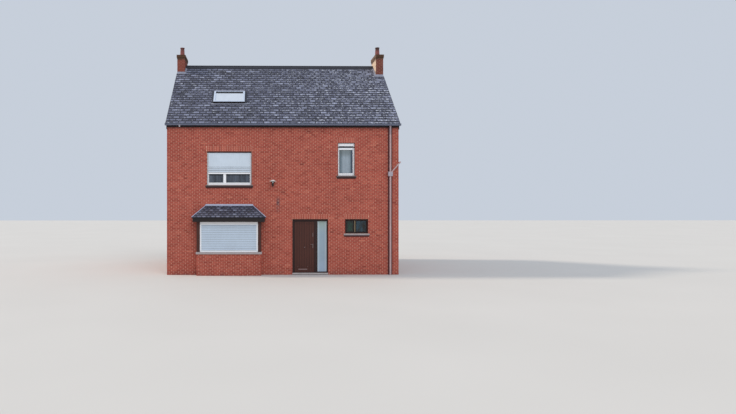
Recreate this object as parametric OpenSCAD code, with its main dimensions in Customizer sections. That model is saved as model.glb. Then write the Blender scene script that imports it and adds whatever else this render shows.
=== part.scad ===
// Detached two-storey brick house with a slate roof, a roof window and a shallow bay window.
// The front faces -Y. The origin is the middle of the wall plan at ground level.

/* [House] */
// Width over the two gable walls
house_w = 10000; // [9400:100:12000]
// Depth over the front and back walls
house_d = 8100; // [7000:100:9500]
// Thickness of the outer walls, two leaves and a cavity
wall_t = 320; // [280:10:400]
// Top of the ground floor above the ground outside
ground_floor_z = 75; // [60:5:150]
// Underside of the first floor
first_floor_z = 2700; // [2600:10:2760]
// Thickness of the first and attic floors
floor_t = 250; // [200:10:300]
// Underside of the attic floor
attic_floor_z = 5750; // [5700:10:5850]

/* [Roof] */
// Top of the slates at the eaves
eave_z = 6530; // [6400:10:6800]
// Pitch of both slopes in degrees
roof_pitch = 39.5; // [35:0.5:45]
// Whole thickness of a slope, rafters and slates
roof_t = 180; // [140:10:240]
// Thickness of the slate layer
slate_t = 30; // [20:5:45]
// How far the slates reach past the walls into the gutter
eave_out = 100; // [80:5:120]
// How far the slates reach past the gable walls
verge_out = 60; // [50:5:90]
// Depth of the verge boards
verge_h = 210; // [180:10:280]
// Thickness of the verge and eaves boards
board_t = 28; // [20:2:40]
// Height of the eaves boards
eave_board_h = 155; // [140:5:200]
// From the slates' underside down to the eaves boards
eave_board_drop = 55; // [40:5:70]
// Width of one leg of the ridge capping
ridge_leg = 150; // [100:10:220]
// Thickness of the ridge capping
ridge_t = 22; // [15:1:35]
// Radius of the roll along the ridge
ridge_roll_r = 38; // [30:2:50]
// Play between a slope and what it beds on or carries
bed = 0.3; // [0.1:0.1:0.5]

/* [Gutters and pipes] */
// Width of a box gutter, front to back
gutter_w = 175; // [120:5:200]
// Height of a box gutter
gutter_h = 80; // [70:5:100]
// Thickness of the gutter metal
gutter_t = 6; // [4:1:10]
// Play in the seams between a gutter's sole, sides and ends
gutter_seam = 0.3; // [0.1:0.1:0.5]
// Radius of the bead along the gutter's front edge
gutter_bead_r = 9; // [6:1:12]
// How far the gutters reach past the slates at each end
gutter_past = 12; // [11:1:25]
// Outer radius of the downpipes
pipe_r = 40; // [35:1:50]
// Wall of the downpipes
pipe_t = 4; // [3:1:6]
// From the gable face in to the downpipe's axis
pipe_in = 380; // [250:10:500]
// From the gable face in to the overflow spout's axis
spout_in = 550; // [400:10:800]
// Length of the overflow spout below the gutter
spout_l = 65; // [40:5:120]
// Outer radius of the overflow spout
spout_r = 30; // [20:1:40]
// Height of the highest pipe bracket
bracket_z = 6010; // [5900:10:6100]
// Distance between the pipe brackets
bracket_gap = 1340; // [1000:20:1500]
// Height of a pipe bracket
bracket_h = 34; // [20:2:60]
// Underside of the junction box on the front downpipe
junction_z = 4255; // [3900:5:4400]
// Side of the junction box
junction_w = 190; // [150:5:240]
// Outer radius of the branch pipe
branch_r = 27; // [20:1:32]
// Height at which the branch pipe turns round the corner
branch_z = 4860; // [4700:10:5000]
// From the gable face out to the branch pipe's axis
branch_out = 50; // [40:5:70]
// How far the branch pipe runs back along the gable
branch_back = 300; // [200:10:500]

/* [Chimneys] */
// Width of a stack, along the ridge
stack_w = 360; // [330:10:500]
// Length of a stack, across the ridge
stack_l = 1080; // [900:20:1400]
// How far the stacks stand out of the gable walls' faces
stack_out = 35; // [20:5:55]
// How far the right stack stands in front of the left one
stack_fwd = 180; // [20:20:200]
// How deep the stacks are let into the gable walls
stack_bed = 20; // [10:5:60]
// Height of the stacks above the ridge
stack_rise = 440; // [350:10:900]
// Height of the corbelled crown
crown_h = 200; // [150:10:300]
// Height of the crown's first corbel
corbel_h = 65; // [50:5:80]
// How far the crown stands out from the shaft
crown_out = 30; // [20:5:50]
// Side of the square flue
flue_w = 140; // [100:10:150]
// Height of the mortar bed round the pot
mortar_h = 45; // [30:5:80]
// Height of a pot above the crown
pot_h = 480; // [300:10:600]
// Outer radius of a pot at its foot
pot_r = 115; // [95:5:130]
// Outer radius of a pot under its rim
pot_neck_r = 94; // [80:1:95]
// Wall of a pot
pot_t = 18; // [12:1:25]
// Height of the pot's rim
pot_rim_h = 45; // [30:5:60]
// How far the lead stands up against the stacks
stack_lead_h = 60; // [40:10:150]
// How far the lead lies out over the slates
stack_lead_w = 75; // [50:5:150]
// Thickness of the lead
lead_t = 6; // [3:1:10]

/* [Roof window] */
// Middle of the roof window from the middle of the house
roof_window_x = -2395; // [-2800:5:-2000]
// From the slates' lower edge up the slope to the window's middle
roof_window_up = 2210; // [2000:10:3000]
// Width of the roof window's frame
roof_window_w = 1410; // [1000:10:1500]
// Height of the roof window's frame, along the slope
roof_window_h = 1030; // [900:10:1400]
// Width of the roof window's frame bars
roof_window_bar = 75; // [60:5:100]
// How far the roof window stands out of the slates
roof_window_out = 100; // [50:5:130]
// Width of the flashing round the roof window
roof_window_lead_w = 95; // [80:5:120]

/* [Windows] */
// Head of the openings in the ground storey
ground_head_z = 2400; // [2340:5:2450]
// Head of the wide windows upstairs
upper_head_z = 5325; // [5200:5:5400]
// From the wall's face to the window frames
window_set = 100; // [90:5:120]
// Depth of the window frames
frame_d = 70; // [60:5:85]
// Thickness of the double glazing
glass_t = 24; // [16:1:30]
// Width of the white frames' side bars
frame_bar = 70; // [60:5:110]
// Height of the white frames' top and bottom rails
frame_rail = 95; // [60:5:120]
// Width of the white mullions
mullion_w = 100; // [80:5:150]
// Width of the wide windows
wide_w = 1930; // [1600:10:2000]
// Height of the wide windows
wide_h = 1450; // [1300:10:1500]
// Middle of the wide window and of the bay, left of the house's middle
wide_x = -2320; // [-2500:10:-2250]
// From the wide window's left edge to the middle of its mullion
wide_mullion = 760; // [600:5:1000]
// Width of the narrow windows
narrow_w = 740; // [640:10:900]
// Height of the narrow windows
narrow_h = 1415; // [1200:5:1500]
// Middle of the narrow window, right of the house's middle
narrow_x = 2735; // [2500:5:3000]
// Sill of the narrow window upstairs
narrow_sill_z = 4285; // [4150:1:4350]
// Width of the low window beside the door
low_w = 1005; // [800:5:1200]
// Height of the low window beside the door
low_h = 620; // [450:1:700]
// Middle of the low window beside the door
low_x = 3182; // [3000:1:3300]
// Width of the low window's frame bars
low_bar = 55; // [40:5:80]
// From the low window's left edge to the middle of its mullion
low_mullion = 440; // [350:5:500]
// Width of the low window's mullion
low_mullion_w = 90; // [60:5:110]
// Middle of the two rows of back windows, each side of the house's middle
back_x = 2320; // [2000:10:2700]
// Middle of the gable windows, behind the house's middle
gable_y = 1900; // [1400:10:2200]
// Height of the stone sills
sill_h = 90; // [60:5:120]
// How far the sills stand out of the wall
sill_out = 60; // [30:5:80]
// How far the sills reach past each side of an opening
sill_past = 55; // [40:5:75]
// How far the sills' tops fall to the front
sill_fall = 12; // [5:1:20]
// Width and depth of the sills' drip groove
drip_w = 10; // [6:1:12]

/* [Roller shutters] */
// From the wall's face to the shutters
shutter_set = 50; // [30:5:60]
// Thickness of the shutter curtains
shutter_t = 14; // [8:1:20]
// From the wall's inner face to the shutter boxes
plaster_t = 20; // [10:5:40]
// Width of the guides
guide_w = 60; // [40:5:70]
// Height of the shutter boxes over the window frames
box_h = 190; // [150:5:240]
// How low the wide window's shutter is let down, from the head
wide_drop = 970; // [500:5:1200]
// How low the narrow window's shutter hangs, from the head
narrow_drop = 155; // [80:5:300]
// Height of the shutters' bottom lath
lath_h = 60; // [40:5:80]
// Thickness of the shutters' bottom lath
lath_t = 22; // [20:1:30]

/* [Front door] */
// Left edge of the doorway, right of the house's middle
door_x = 400; // [300:10:500]
// Width of the doorway
doorway_w = 1550; // [1450:10:1650]
// From the wall's face to the door frame
door_set = 110; // [90:5:130]
// Depth of the door frame
door_frame_d = 90; // [80:5:110]
// Width of the door frame's left jamb and head
door_jamb = 90; // [60:5:110]
// Width of the post between door and side light
door_post = 115; // [45:1:130]
// Width of the door frame's right jamb
side_jamb = 50; // [40:5:90]
// Width of the side light's glass
side_glass_w = 402; // [350:1:450]
// Height of the rail under the side light's glass
side_rail_h = 50; // [40:5:150]
// Thickness of the side light's glass
side_glass_t = 24; // [16:1:30]
// How far the stop laps over the leaf
stop_lap = 14; // [10:1:20]
// Thickness of the stop
stop_t = 20; // [15:1:25]
// Thickness of the leaf
leaf_t = 58; // [45:1:60]
// Gap round the leaf
leaf_gap = 6; // [5:1:9]
// How far the threshold stands out of the wall
threshold_out = 40; // [20:5:80]
// Radius of the hinge knuckles
knuckle_r = 11; // [9:1:14]
// Length of one knuckle
knuckle_l = 48; // [30:2:70]
// Radius of the hinge pins
pin_r = 6; // [4:0.5:7]
// Play between a pin and its bore
pin_play = 0.05; // [0.02:0.01:0.1]
// Play between the two knuckles of a hinge
knuckle_play = 0.3; // [0.1:0.1:0.5]
// Width of a hinge plate
hinge_plate_w = 42; // [30:2:60]
// Thickness of a hinge plate
hinge_plate_t = 4; // [3:0.5:6]
// Height of the lowest hinge above the leaf's foot
hinge_foot = 220; // [150:10:300]

/* [Door furniture] */
// Height of the knob in the middle of the leaf
knob_z = 1180; // [1000:10:1300]
// Radius of the knob
knob_r = 25; // [20:1:50]
// From the leaf's face to the knob's front
knob_out = 52; // [45:1:80]
// Height of the middle of the lever's plate
lever_z = 1240; // [1000:10:1300]
// From the middle of the lever's plate up to the lever
lever_rise = 60; // [0:5:60]
// From the leaf's free edge to the lever's plate
lever_in = 60; // [35:5:90]
// Width of the lever's plate
lever_plate_w = 34; // [30:1:50]
// Height of the lever's plate
lever_plate_h = 190; // [170:5:280]
// Length of the lever
lever_l = 100; // [90:5:150]
// Radius of the lever
lever_r = 10; // [8:1:12]
// From the leaf's face to the lever's axis
lever_out = 50; // [40:1:60]
// Height of the upper lock
lock_z = 1720; // [1600:10:1800]
// Radius of the upper lock and of its plate's round ends
lock_r = 15; // [12:1:24]
// Height of the upper lock's plate
lock_h = 165; // [80:5:200]
// Thickness of the lock and of the plates
plate_t = 8; // [6:1:12]
// Height of the letter plate's middle
letter_z = 225; // [200:5:400]
// How far the letter plate's middle is left of the leaf's middle
letter_off = 75; // [0:5:120]
// Width of the letter plate
letter_w = 380; // [280:5:400]
// Height of the letter plate
letter_h = 38; // [34:2:70]

/* [Bay window] */
// Width of the bay over its timber cheeks
bay_w = 2750; // [2500:10:2900]
// How far the bay stands out of the wall
bay_out = 350; // [300:10:450]
// Thickness of the timber cheeks
cheek_t = 140; // [100:5:160]
// Top of the bay's sill
bay_sill_z = 1010; // [900:5:1100]
// Underside of the soffit board
bay_head_z = 2290; // [2250:5:2330]
// Thickness of the soffit board
soffit_t = 165; // [70:5:200]
// How far the soffit board stays inside the slates
soffit_in = 35; // [20:5:60]
// Height of the bay's slate roof
bay_roof_h = 525; // [450:5:700]
// How far the bay's roof stands out of the wall
bay_roof_out = 540; // [500:10:600]
// Width of the bay's roof where it meets the wall
bay_roof_top_w = 2050; // [1900:10:2200]
// Thickness of the slates on the bay's roof
bay_slate_t = 40; // [30:5:60]
// Height of the zinc upstand over the bay's roof
bay_zinc_h = 70; // [50:5:100]
// Thickness of the zinc on the bay's roof
bay_zinc_t = 12; // [8:1:20]
// Radius of the zinc rolls on the hips
hip_r = 16; // [12:1:25]
// From the bay's face to its shutter
bay_shutter_set = 28; // [20:1:40]
// From the bay's face to its window frame
bay_window_set = 75; // [70:5:100]
// Height of the shutter box under the soffit
bay_box_h = 120; // [90:5:150]

/* [Wall lamp] */
// Middle of the lamp, left of the house's middle
lamp_x = -445; // [-600:5:-300]
// Underside of the lamp's shade
lamp_z = 4020; // [3900:10:4100]
// Radius of the shade
lamp_r = 145; // [120:5:170]
// Height of the shade
lamp_h = 65; // [50:5:110]
// Thickness of the shade
lamp_t = 5; // [3:1:8]
// From the wall's face to the lamp's axis
lamp_out = 190; // [180:5:240]
// Radius of the lamp's holder under the shade
holder_r = 105; // [80:5:120]
// Radius of the holder's neck
neck_r = 42; // [30:1:50]
// Height of the lamp's holder
holder_h = 245; // [200:5:270]
// Radius of the holder's tip
holder_tip_r = 12; // [8:1:16]
// Width of the lamp's wall plate
lamp_plate_w = 80; // [60:5:100]
// Height of the lamp's wall plate
lamp_plate_h = 190; // [150:5:220]
// Radius of the lamp's arm
lamp_arm_r = 16; // [12:1:20]

/* [Hidden] */
$fn = 48;

brick = [0.60, 0.33, 0.29];
slate = [0.38, 0.40, 0.45];
stone = [0.45, 0.45, 0.46];
zinc = [0.66, 0.66, 0.69];
white = [0.93, 0.93, 0.92];
brown = [0.27, 0.18, 0.15];
dark_board = [0.20, 0.15, 0.14];
glass = [0.55, 0.65, 0.70, 0.6];
terracotta = [0.66, 0.36, 0.27];
steel = [0.70, 0.70, 0.70];
floor_grey = [0.62, 0.60, 0.57];

half_w = house_w / 2;
half_d = house_d / 2;
inner_w = house_w - 2 * wall_t;
inner_d = house_d - 2 * wall_t;
past = 10;

// Heights on a slope, by the distance from the ridge
rise = tan(roof_pitch);
roof_v = roof_t / cos(roof_pitch);
slate_v = slate_t / cos(roof_pitch);
eave_d = half_d + eave_out;
function top_z(d) = eave_z + rise * (eave_d - d);
function under_z(d) = top_z(d) - roof_v;
ridge_z = top_z(0);
stack_top_z = ridge_z + stack_rise;

// The stacks: dir is -1 for the left one and 1 for the right one
stack_x = half_w + stack_out - stack_w / 2;
stack_in_x = stack_x - stack_w / 2;
function stack_y(dir) = dir > 0 ? -stack_fwd : 0;
function stack_face(dir, back) = stack_l / 2 + (back == 1 ? stack_y(dir) : -stack_y(dir));
function stack_seat_z(dir) = under_z(stack_face(dir, 0)) - bed - stack_bed;
gutter_back_y = half_d + board_t;
gutter_axis_y = gutter_back_y + gutter_w / 2;
gutter_top_z = eave_z - slate_v / 2;
gutter_z = gutter_top_z - gutter_h;
eave_board_z = top_z(half_d) - slate_v - eave_board_drop - eave_board_h;
pipe_x = half_w - pipe_in;
spout_x = spout_in - half_w;
verge_x = half_w + verge_out;
gutter_x = verge_x + gutter_past;

wide_sill_z = upper_head_z - wide_h;
low_sill_z = ground_head_z - low_h;
narrow_head_z = narrow_sill_z + narrow_h;
ground_wide_sill_z = ground_head_z - wide_h;
ground_narrow_sill_z = ground_head_z - narrow_h;

leaf_x = door_x + door_jamb + leaf_gap;
leaf_w = doorway_w - door_jamb - door_post - side_glass_w - side_jamb - 2 * leaf_gap;
leaf_z = ground_floor_z + leaf_gap;
leaf_h = ground_head_z - door_jamb - leaf_gap - leaf_z;
leaf_y = -half_d + door_set + stop_t + leaf_gap;
side_glass_x = leaf_x + leaf_w + leaf_gap + door_post;
hinge_x = leaf_x - leaf_gap / 2;
frame_in_y = -half_d + door_set + door_frame_d;
hinge_y = frame_in_y + knuckle_r + 1;
hinge_heights = [for (i = [0 : 2]) leaf_z + hinge_foot + i * (leaf_h - 2 * hinge_foot) / 2];

bay_y = -half_d - bay_out;
bay_eave_z = bay_head_z + soffit_t;
bay_eave_w = bay_roof_top_w + 2 * bay_roof_out;
bay_inner_w = bay_w - 2 * cheek_t;

// The openings of the hidden sides: side, place along it, sill, width, height
hidden_windows = concat(
  [for (x = [-back_x, back_x]) [2, x, wide_sill_z, wide_w, wide_h]],
  [for (x = [-back_x, back_x]) [2, x, ground_wide_sill_z, wide_w, wide_h]],
  [for (z = [upper_head_z, ground_head_z]) [1, gable_y, z - narrow_h, narrow_w, narrow_h]],
  [for (z = [upper_head_z, ground_head_z]) [3, -gable_y, z - narrow_h, narrow_w, narrow_h]]
);

// A hidden window has a mullion where it repeats the wide kind
function hidden_mullions(o) = o[3] == wide_w ? [wide_mullion] : [];

// The outline of an upright plate with round ends
function pill(r, h) = concat(
  [for (a = [0 : 15 : 180]) [r * cos(a), h / 2 - r + r * sin(a)]],
  [for (a = [180 : 15 : 360]) [r * cos(a), r - h / 2 + r * sin(a)]]
);

// The outer face of one side: 0 front, 1 right, 2 back, 3 left; +Y leads into the wall
module on_side(side) {
  rotate([0, 0, 90 * side])
    translate([0, -(side % 2 == 0 ? half_d : half_w), 0]) children();
}

// An outline in Y and Z, carried along X by the given length and centred
module along_x(length) {
  rotate([90, 0, 90]) linear_extrude(length, center = true) children();
}

// A place on the front slope: X across, Y up the slope, Z out of the slates
module on_front_slope(x, up) {
  translate([x, -eave_d, eave_z]) rotate([roof_pitch, 0, 0]) translate([0, up, 0]) children();
}

// The hole through a wall for an opening, from its sill up
module opening(x, z, w, h) {
  translate([x - w / 2, -past, z]) cube([w, wall_t + 2 * past, h]);
}

// A stone sill with a sloped top and a drip groove, bedded in the wall up to the frame
module sill(x, z, w) {
  translate([x, 0, z]) along_x(w + 2 * sill_past)
    polygon([
      [window_set, -sill_h], [window_set, 0], [window_set / 2, 0], [-sill_out, -sill_fall],
      [-sill_out, -sill_h], [-sill_out / 2 - drip_w, -sill_h], [-sill_out / 2 - drip_w, drip_w - sill_h],
      [-sill_out / 2, drip_w - sill_h], [-sill_out / 2, -sill_h]
    ]);
}

// A window frame with mullions at the given distances from its left edge
module frame(x, z, w, h, bar, rail, mullions, mullion) {
  translate([x - w / 2, window_set, z]) {
    difference() {
      cube([w, frame_d, h]);
      translate([bar, -past, rail]) cube([w - 2 * bar, frame_d + 2 * past, h - 2 * rail]);
    }
    for (m = mullions)
      translate([m - mullion / 2, 0, rail]) cube([mullion, frame_d, h - 2 * rail]);
  }
}

// The box over a frame that holds a rolled-up shutter, up to the opening's head
module shutter_box(x, head, w) {
  translate([x - w / 2, window_set, head - box_h])
    cube([w, wall_t - window_set - plaster_t, box_h]);
}

// The panes between the bars of such a frame
module panes(x, z, w, h, bar, rail, mullions, mullion) {
  starts = concat([bar], [for (m = mullions) m + mullion / 2]);
  ends = concat([for (m = mullions) m - mullion / 2], [w - bar]);
  translate([x - w / 2, window_set + (frame_d - glass_t) / 2, z + rail])
    for (i = [0 : len(starts) - 1])
      translate([starts[i], 0, 0]) cube([ends[i] - starts[i], glass_t, h - 2 * rail]);
}

// A roller shutter let down by a given length, with its guides down to the sill
module shutter(x, head, w, drop, h, guide) {
  guide_d = window_set - shutter_set;
  translate([x - w / 2, shutter_set, head - h]) {
    for (gx = [0, w - guide]) translate([gx, 0, 0]) cube([guide, guide_d, h]);
    translate([guide, (guide_d - shutter_t) / 2, h - drop]) cube([w - 2 * guide, shutter_t, drop]);
    translate([guide, (guide_d - lath_t) / 2, h - drop]) cube([w - 2 * guide, lath_t, lath_h]);
  }
}

// A long wall between the gables, its top cut to the roof's underside
module long_wall(x0, x1) {
  translate([(x0 + x1) / 2, 0, 0]) along_x(x1 - x0)
    polygon([
      [-half_d, 0], [-half_d + wall_t, 0],
      [-half_d + wall_t, under_z(half_d - wall_t) - bed], [-half_d, under_z(half_d) - bed]
    ]);
}

module front_wall_left() {
  color(brick) difference() {
    long_wall(-inner_w / 2, door_x);
    on_side(0) {
      opening(wide_x, wide_sill_z, wide_w, wide_h);
      opening(wide_x, bay_sill_z, bay_inner_w, bay_head_z - bay_sill_z);
      sill(wide_x, wide_sill_z, wide_w);
    }
  }
}

module front_wall_over_door() {
  color(brick) intersection() {
    long_wall(door_x, door_x + doorway_w);
    translate([door_x, -half_d - past, ground_head_z])
      cube([doorway_w, wall_t + 2 * past, ridge_z]);
  }
}

module front_wall_right() {
  color(brick) difference() {
    long_wall(door_x + doorway_w, inner_w / 2);
    on_side(0) {
      opening(narrow_x, narrow_sill_z, narrow_w, narrow_h);
      opening(low_x, low_sill_z, low_w, low_h);
      sill(narrow_x, narrow_sill_z, narrow_w);
      sill(low_x, low_sill_z, low_w);
    }
  }
}

// The openings and sill beds of one hidden side
module hidden_openings(side) {
  for (o = hidden_windows) if (o[0] == side) on_side(side) {
    opening(o[1], o[2], o[3], o[4]);
    sill(o[1], o[2], o[3]);
  }
}

module back_wall() {
  color(brick) difference() {
    mirror([0, 1, 0]) long_wall(-inner_w / 2, inner_w / 2);
    hidden_openings(2);
  }
}

// A gable wall up to the roof, with a flat seat where a chimney stack is let into it
module gable_wall(dir) {
  front = stack_face(dir, 0);
  back = stack_face(dir, 1);
  seat_z = stack_seat_z(dir);
  translate([dir * (half_w - wall_t / 2), 0, 0]) along_x(wall_t)
    polygon([
      [-half_d, 0], [half_d, 0], [half_d, under_z(half_d) - bed], [back, under_z(back) - bed],
      [back, seat_z], [-front, seat_z], [-front, under_z(front) - bed],
      [-half_d, under_z(half_d) - bed]
    ]);
}

module left_gable_wall() {
  color(brick) difference() {
    gable_wall(-1);
    hidden_openings(3);
  }
}

module right_gable_wall() {
  color(brick) difference() {
    gable_wall(1);
    hidden_openings(1);
  }
}

// A floor between the walls
module floor_plate(z, t) {
  translate([-inner_w / 2, -inner_d / 2, z]) cube([inner_w, inner_d, t]);
}

module ground_floor() { color(floor_grey) floor_plate(0, ground_floor_z); }
module first_floor() { color(floor_grey) floor_plate(first_floor_z, floor_t); }
module attic_floor() { color(floor_grey) floor_plate(attic_floor_z, floor_t); }

// One slope: rafters between the gable faces, and slates that reach past them
module slope() {
  along_x(house_w)
    polygon([
      [-half_d, under_z(half_d)], [-half_d, top_z(half_d)], [0, ridge_z], [0, under_z(0)]
    ]);
  along_x(2 * verge_x)
    polygon([
      [-eave_d, eave_z - slate_v], [-eave_d, eave_z], [0, ridge_z], [0, ridge_z - slate_v]
    ]);
}

// The gaps in both slopes where the stacks stand, open at the verges
module stack_gaps() {
  w = verge_x + past - stack_in_x;
  for (dir = [-1, 1])
    translate([dir * (stack_in_x + w / 2), stack_y(dir), ridge_z])
      cube([w, stack_l, ridge_z], center = true);
}

module front_roof_slope() {
  color(slate) difference() {
    slope();
    stack_gaps();
    on_front_slope(roof_window_x, roof_window_up)
      cube([roof_window_w, roof_window_h, 3 * roof_t], center = true);
  }
}

module back_roof_slope() {
  color(slate) difference() {
    mirror([0, 1, 0]) slope();
    stack_gaps();
  }
}

module ridge_capping() {
  cap_v = ridge_t / cos(roof_pitch);
  color(slate) translate([0, 0, bed]) {
    along_x(2 * stack_in_x)
      polygon([
        [-ridge_leg, top_z(ridge_leg)], [-ridge_leg, top_z(ridge_leg) + cap_v],
        [0, ridge_z + cap_v], [ridge_leg, top_z(ridge_leg) + cap_v],
        [ridge_leg, top_z(ridge_leg)], [0, ridge_z]
      ]);
    intersection() {
      translate([0, 0, ridge_z + cap_v / 2]) rotate([0, 90, 0])
        cylinder(h = 2 * stack_in_x, r = ridge_roll_r, center = true);
      translate([-half_w, -ridge_leg, ridge_z]) cube([house_w, 2 * ridge_leg, 4 * ridge_roll_r]);
    }
  }
}

// A board on the gable's face under the slates' edge, from the gutter up to the stack
module verge_board(head) {
  foot = gutter_back_y;
  top_v = slate_v + bed;
  low_v = slate_v + verge_h / cos(roof_pitch);
  along_x(board_t)
    polygon([
      [-foot, top_z(foot) - low_v], [-foot, top_z(foot) - top_v],
      [-head, top_z(head) - top_v], [-head, top_z(head) - low_v]
    ]);
}

module verge_boards() {
  color(dark_board)
    for (dir = [-1, 1], back = [0, 1])
      mirror([0, back, 0])
        translate([dir * (half_w + board_t / 2), 0, 0]) verge_board(stack_face(dir, back));
}

module eaves_boards() {
  color(dark_board)
    for (back = [0, 1])
      mirror([0, back, 0])
        translate([-half_w, -gutter_back_y, eave_board_z]) cube([house_w, board_t, eave_board_h]);
}

// A box gutter of soldered sheets: a sole with holes at the given places along it, and
// two sides and two ends that stand on it. A bead runs along the front.
module gutter(holes) {
  front_y = -gutter_back_y - gutter_w;
  side_z = gutter_z + gutter_t + gutter_seam;
  side_h = gutter_top_z - side_z;
  difference() {
    translate([-gutter_x, front_y, gutter_z]) cube([2 * gutter_x, gutter_w, gutter_t]);
    for (hole = holes) translate([hole[0], -gutter_axis_y, gutter_z - past])
      cylinder(h = gutter_t + 2 * past, r = hole[1]);
  }
  for (y = [front_y, -gutter_back_y - gutter_t])
    translate([-gutter_x, y, side_z]) cube([2 * gutter_x, gutter_t, side_h]);
  translate([0, front_y - gutter_bead_r / 2, gutter_top_z - gutter_bead_r]) rotate([0, 90, 0])
    cylinder(h = 2 * gutter_x, r = gutter_bead_r, center = true);
  for (x = [-gutter_x, gutter_x - gutter_t])
    translate([x, front_y + gutter_t + gutter_seam, side_z])
      cube([gutter_t, gutter_w - 2 * (gutter_t + gutter_seam), side_h]);
}

// The overflow spout under the front gutter's sole
module spout() {
  translate([spout_x, -gutter_axis_y, gutter_z - gutter_seam - spout_l]) difference() {
    cylinder(h = spout_l, r = spout_r);
    translate([0, 0, -past]) cylinder(h = spout_l + 2 * past, r = spout_r - pipe_t);
  }
}

module gutters() {
  color(zinc) {
    gutter([[pipe_x, pipe_r - pipe_t], [spout_x, spout_r - pipe_t]]);
    spout();
    mirror([0, 1, 0]) gutter([[pipe_x, pipe_r - pipe_t]]);
  }
}

// A round bar between two points
module pipe_run(a, b, r) {
  v = b - a;
  translate(a) rotate([0, acos(v[2] / norm(v)), atan2(v[1], v[0])]) cylinder(h = norm(v), r = r);
}

// A straight downpipe from the gutter to the ground, with brackets to the wall
module downpipe() {
  count = floor(bracket_z / bracket_gap);
  translate([pipe_x, -gutter_axis_y, 0]) {
    difference() {
      cylinder(h = gutter_z, r = pipe_r);
      translate([0, 0, gutter_z - 6 * pipe_r]) cylinder(h = 7 * pipe_r, r = pipe_r - pipe_t);
    }
    for (i = [0 : count]) translate([0, 0, bracket_z - i * bracket_gap]) {
      difference() {
        cylinder(h = bracket_h, r = pipe_r + pipe_t, center = true);
        cylinder(h = 2 * bracket_h, r = pipe_r - pipe_t / 2, center = true);
      }
      translate([0, pipe_r, 0]) rotate([-90, 0, 0])
        cylinder(h = gutter_axis_y - half_d - pipe_r, r = bracket_h / 4);
    }
  }
}

module branch_pipe() {
  y = -gutter_axis_y;
  corner = [half_w + branch_out, y, branch_z];
  back = [half_w + branch_out, y + branch_back, branch_z];
  pipe_run([pipe_x, y, junction_z + junction_w * 0.6], corner, branch_r);
  translate(corner) sphere(r = branch_r + pipe_t);
  pipe_run(corner, back, branch_r);
  translate(back) sphere(r = branch_r + pipe_t);
  translate(back) rotate([0, -90, 0]) cylinder(h = branch_out, r = branch_r);
}

module downpipes() {
  color(zinc) {
    downpipe();
    translate([pipe_x - junction_w / 2, -gutter_axis_y - junction_w / 3, junction_z])
      cube([junction_w, junction_w * 2 / 3, junction_w]);
    branch_pipe();
    mirror([0, 1, 0]) downpipe();
  }
}

// Lead round a stack: laid on both slopes and turned up against the masonry
module stack_flashing(dir) {
  w = verge_x - stack_in_x + stack_lead_w;
  lead_v = lead_t / cos(roof_pitch);
  difference() {
    for (back = [0, 1]) mirror([0, back, 0]) {
      face = stack_face(dir, back);
      out = face + stack_lead_w;
      translate([dir * (verge_x - w / 2), 0, 0]) along_x(w)
        polygon([
          [-out, top_z(out) + bed], [-out, top_z(out) + lead_v],
          [-ridge_leg, top_z(ridge_leg) + lead_v], [-ridge_leg, top_z(ridge_leg) + bed]
        ]);
      translate([dir * (stack_x - lead_t / 2), 0, 0]) along_x(stack_w + lead_t)
        polygon([
          [-face - lead_t, top_z(face + lead_t) + bed], [-face - lead_t, top_z(face) + stack_lead_h],
          [-ridge_leg, top_z(ridge_leg) + stack_lead_h], [-ridge_leg, top_z(ridge_leg) + bed]
        ]);
    }
    translate([dir * (stack_x + verge_out), stack_y(dir), ridge_z])
      cube([stack_w + 2 * verge_out, stack_l, ridge_z], center = true);
  }
}

// Lead round the roof window, laid on the slates against its frame
module window_flashing() {
  on_front_slope(roof_window_x, roof_window_up) difference() {
    translate([0, 0, bed + lead_t / 2])
      cube([roof_window_w + 2 * roof_window_lead_w, roof_window_h + 2 * roof_window_lead_w, lead_t],
           center = true);
    cube([roof_window_w, roof_window_h, roof_t], center = true);
  }
}

module roof_flashings() {
  color(zinc) {
    for (dir = [-1, 1]) stack_flashing(dir);
    window_flashing();
  }
}

module roof_window_frame() {
  depth = roof_t + roof_window_out;
  color(steel) on_front_slope(roof_window_x, roof_window_up)
    translate([0, 0, roof_window_out - depth / 2]) difference() {
      cube([roof_window_w, roof_window_h, depth], center = true);
      cube([roof_window_w - 2 * roof_window_bar, roof_window_h - 2 * roof_window_bar, 2 * depth],
           center = true);
    }
}

module roof_window_glass() {
  color(glass) on_front_slope(roof_window_x, roof_window_up)
    translate([0, 0, roof_window_out - glass_t])
      cube([roof_window_w - 2 * roof_window_bar, roof_window_h - 2 * roof_window_bar, glass_t],
           center = true);
}

// Courses at a stack's top that stand out all round
module crown_course(out, h) {
  translate([-stack_w / 2 - out, -stack_l / 2 - out, stack_top_z - h])
    cube([stack_w + 2 * out, stack_l + 2 * out, h]);
}

// A stack on its gable wall, with a corbelled crown, a mortar bed and a square flue
module chimney_stacks() {
  color(brick)
    for (dir = [-1, 1]) translate([dir * stack_x, stack_y(dir), 0]) difference() {
      h = stack_top_z - stack_seat_z(dir);
      union() {
        translate([-stack_w / 2, -stack_l / 2, stack_seat_z(dir)]) cube([stack_w, stack_l, h]);
        crown_course(crown_out / 2, crown_h);
        crown_course(crown_out, crown_h - corbel_h);
        translate([0, 0, stack_top_z])
          cylinder(h = mortar_h, r1 = pot_r + mortar_h, r2 = pot_r + pot_t / 2);
      }
      translate([0, 0, stack_top_z]) cylinder(h = 2 * mortar_h, r = pot_r);
      translate([-flue_w / 2, -flue_w / 2, stack_seat_z(dir) - past])
        cube([flue_w, flue_w, h + mortar_h + 2 * past]);
    }
}

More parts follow.
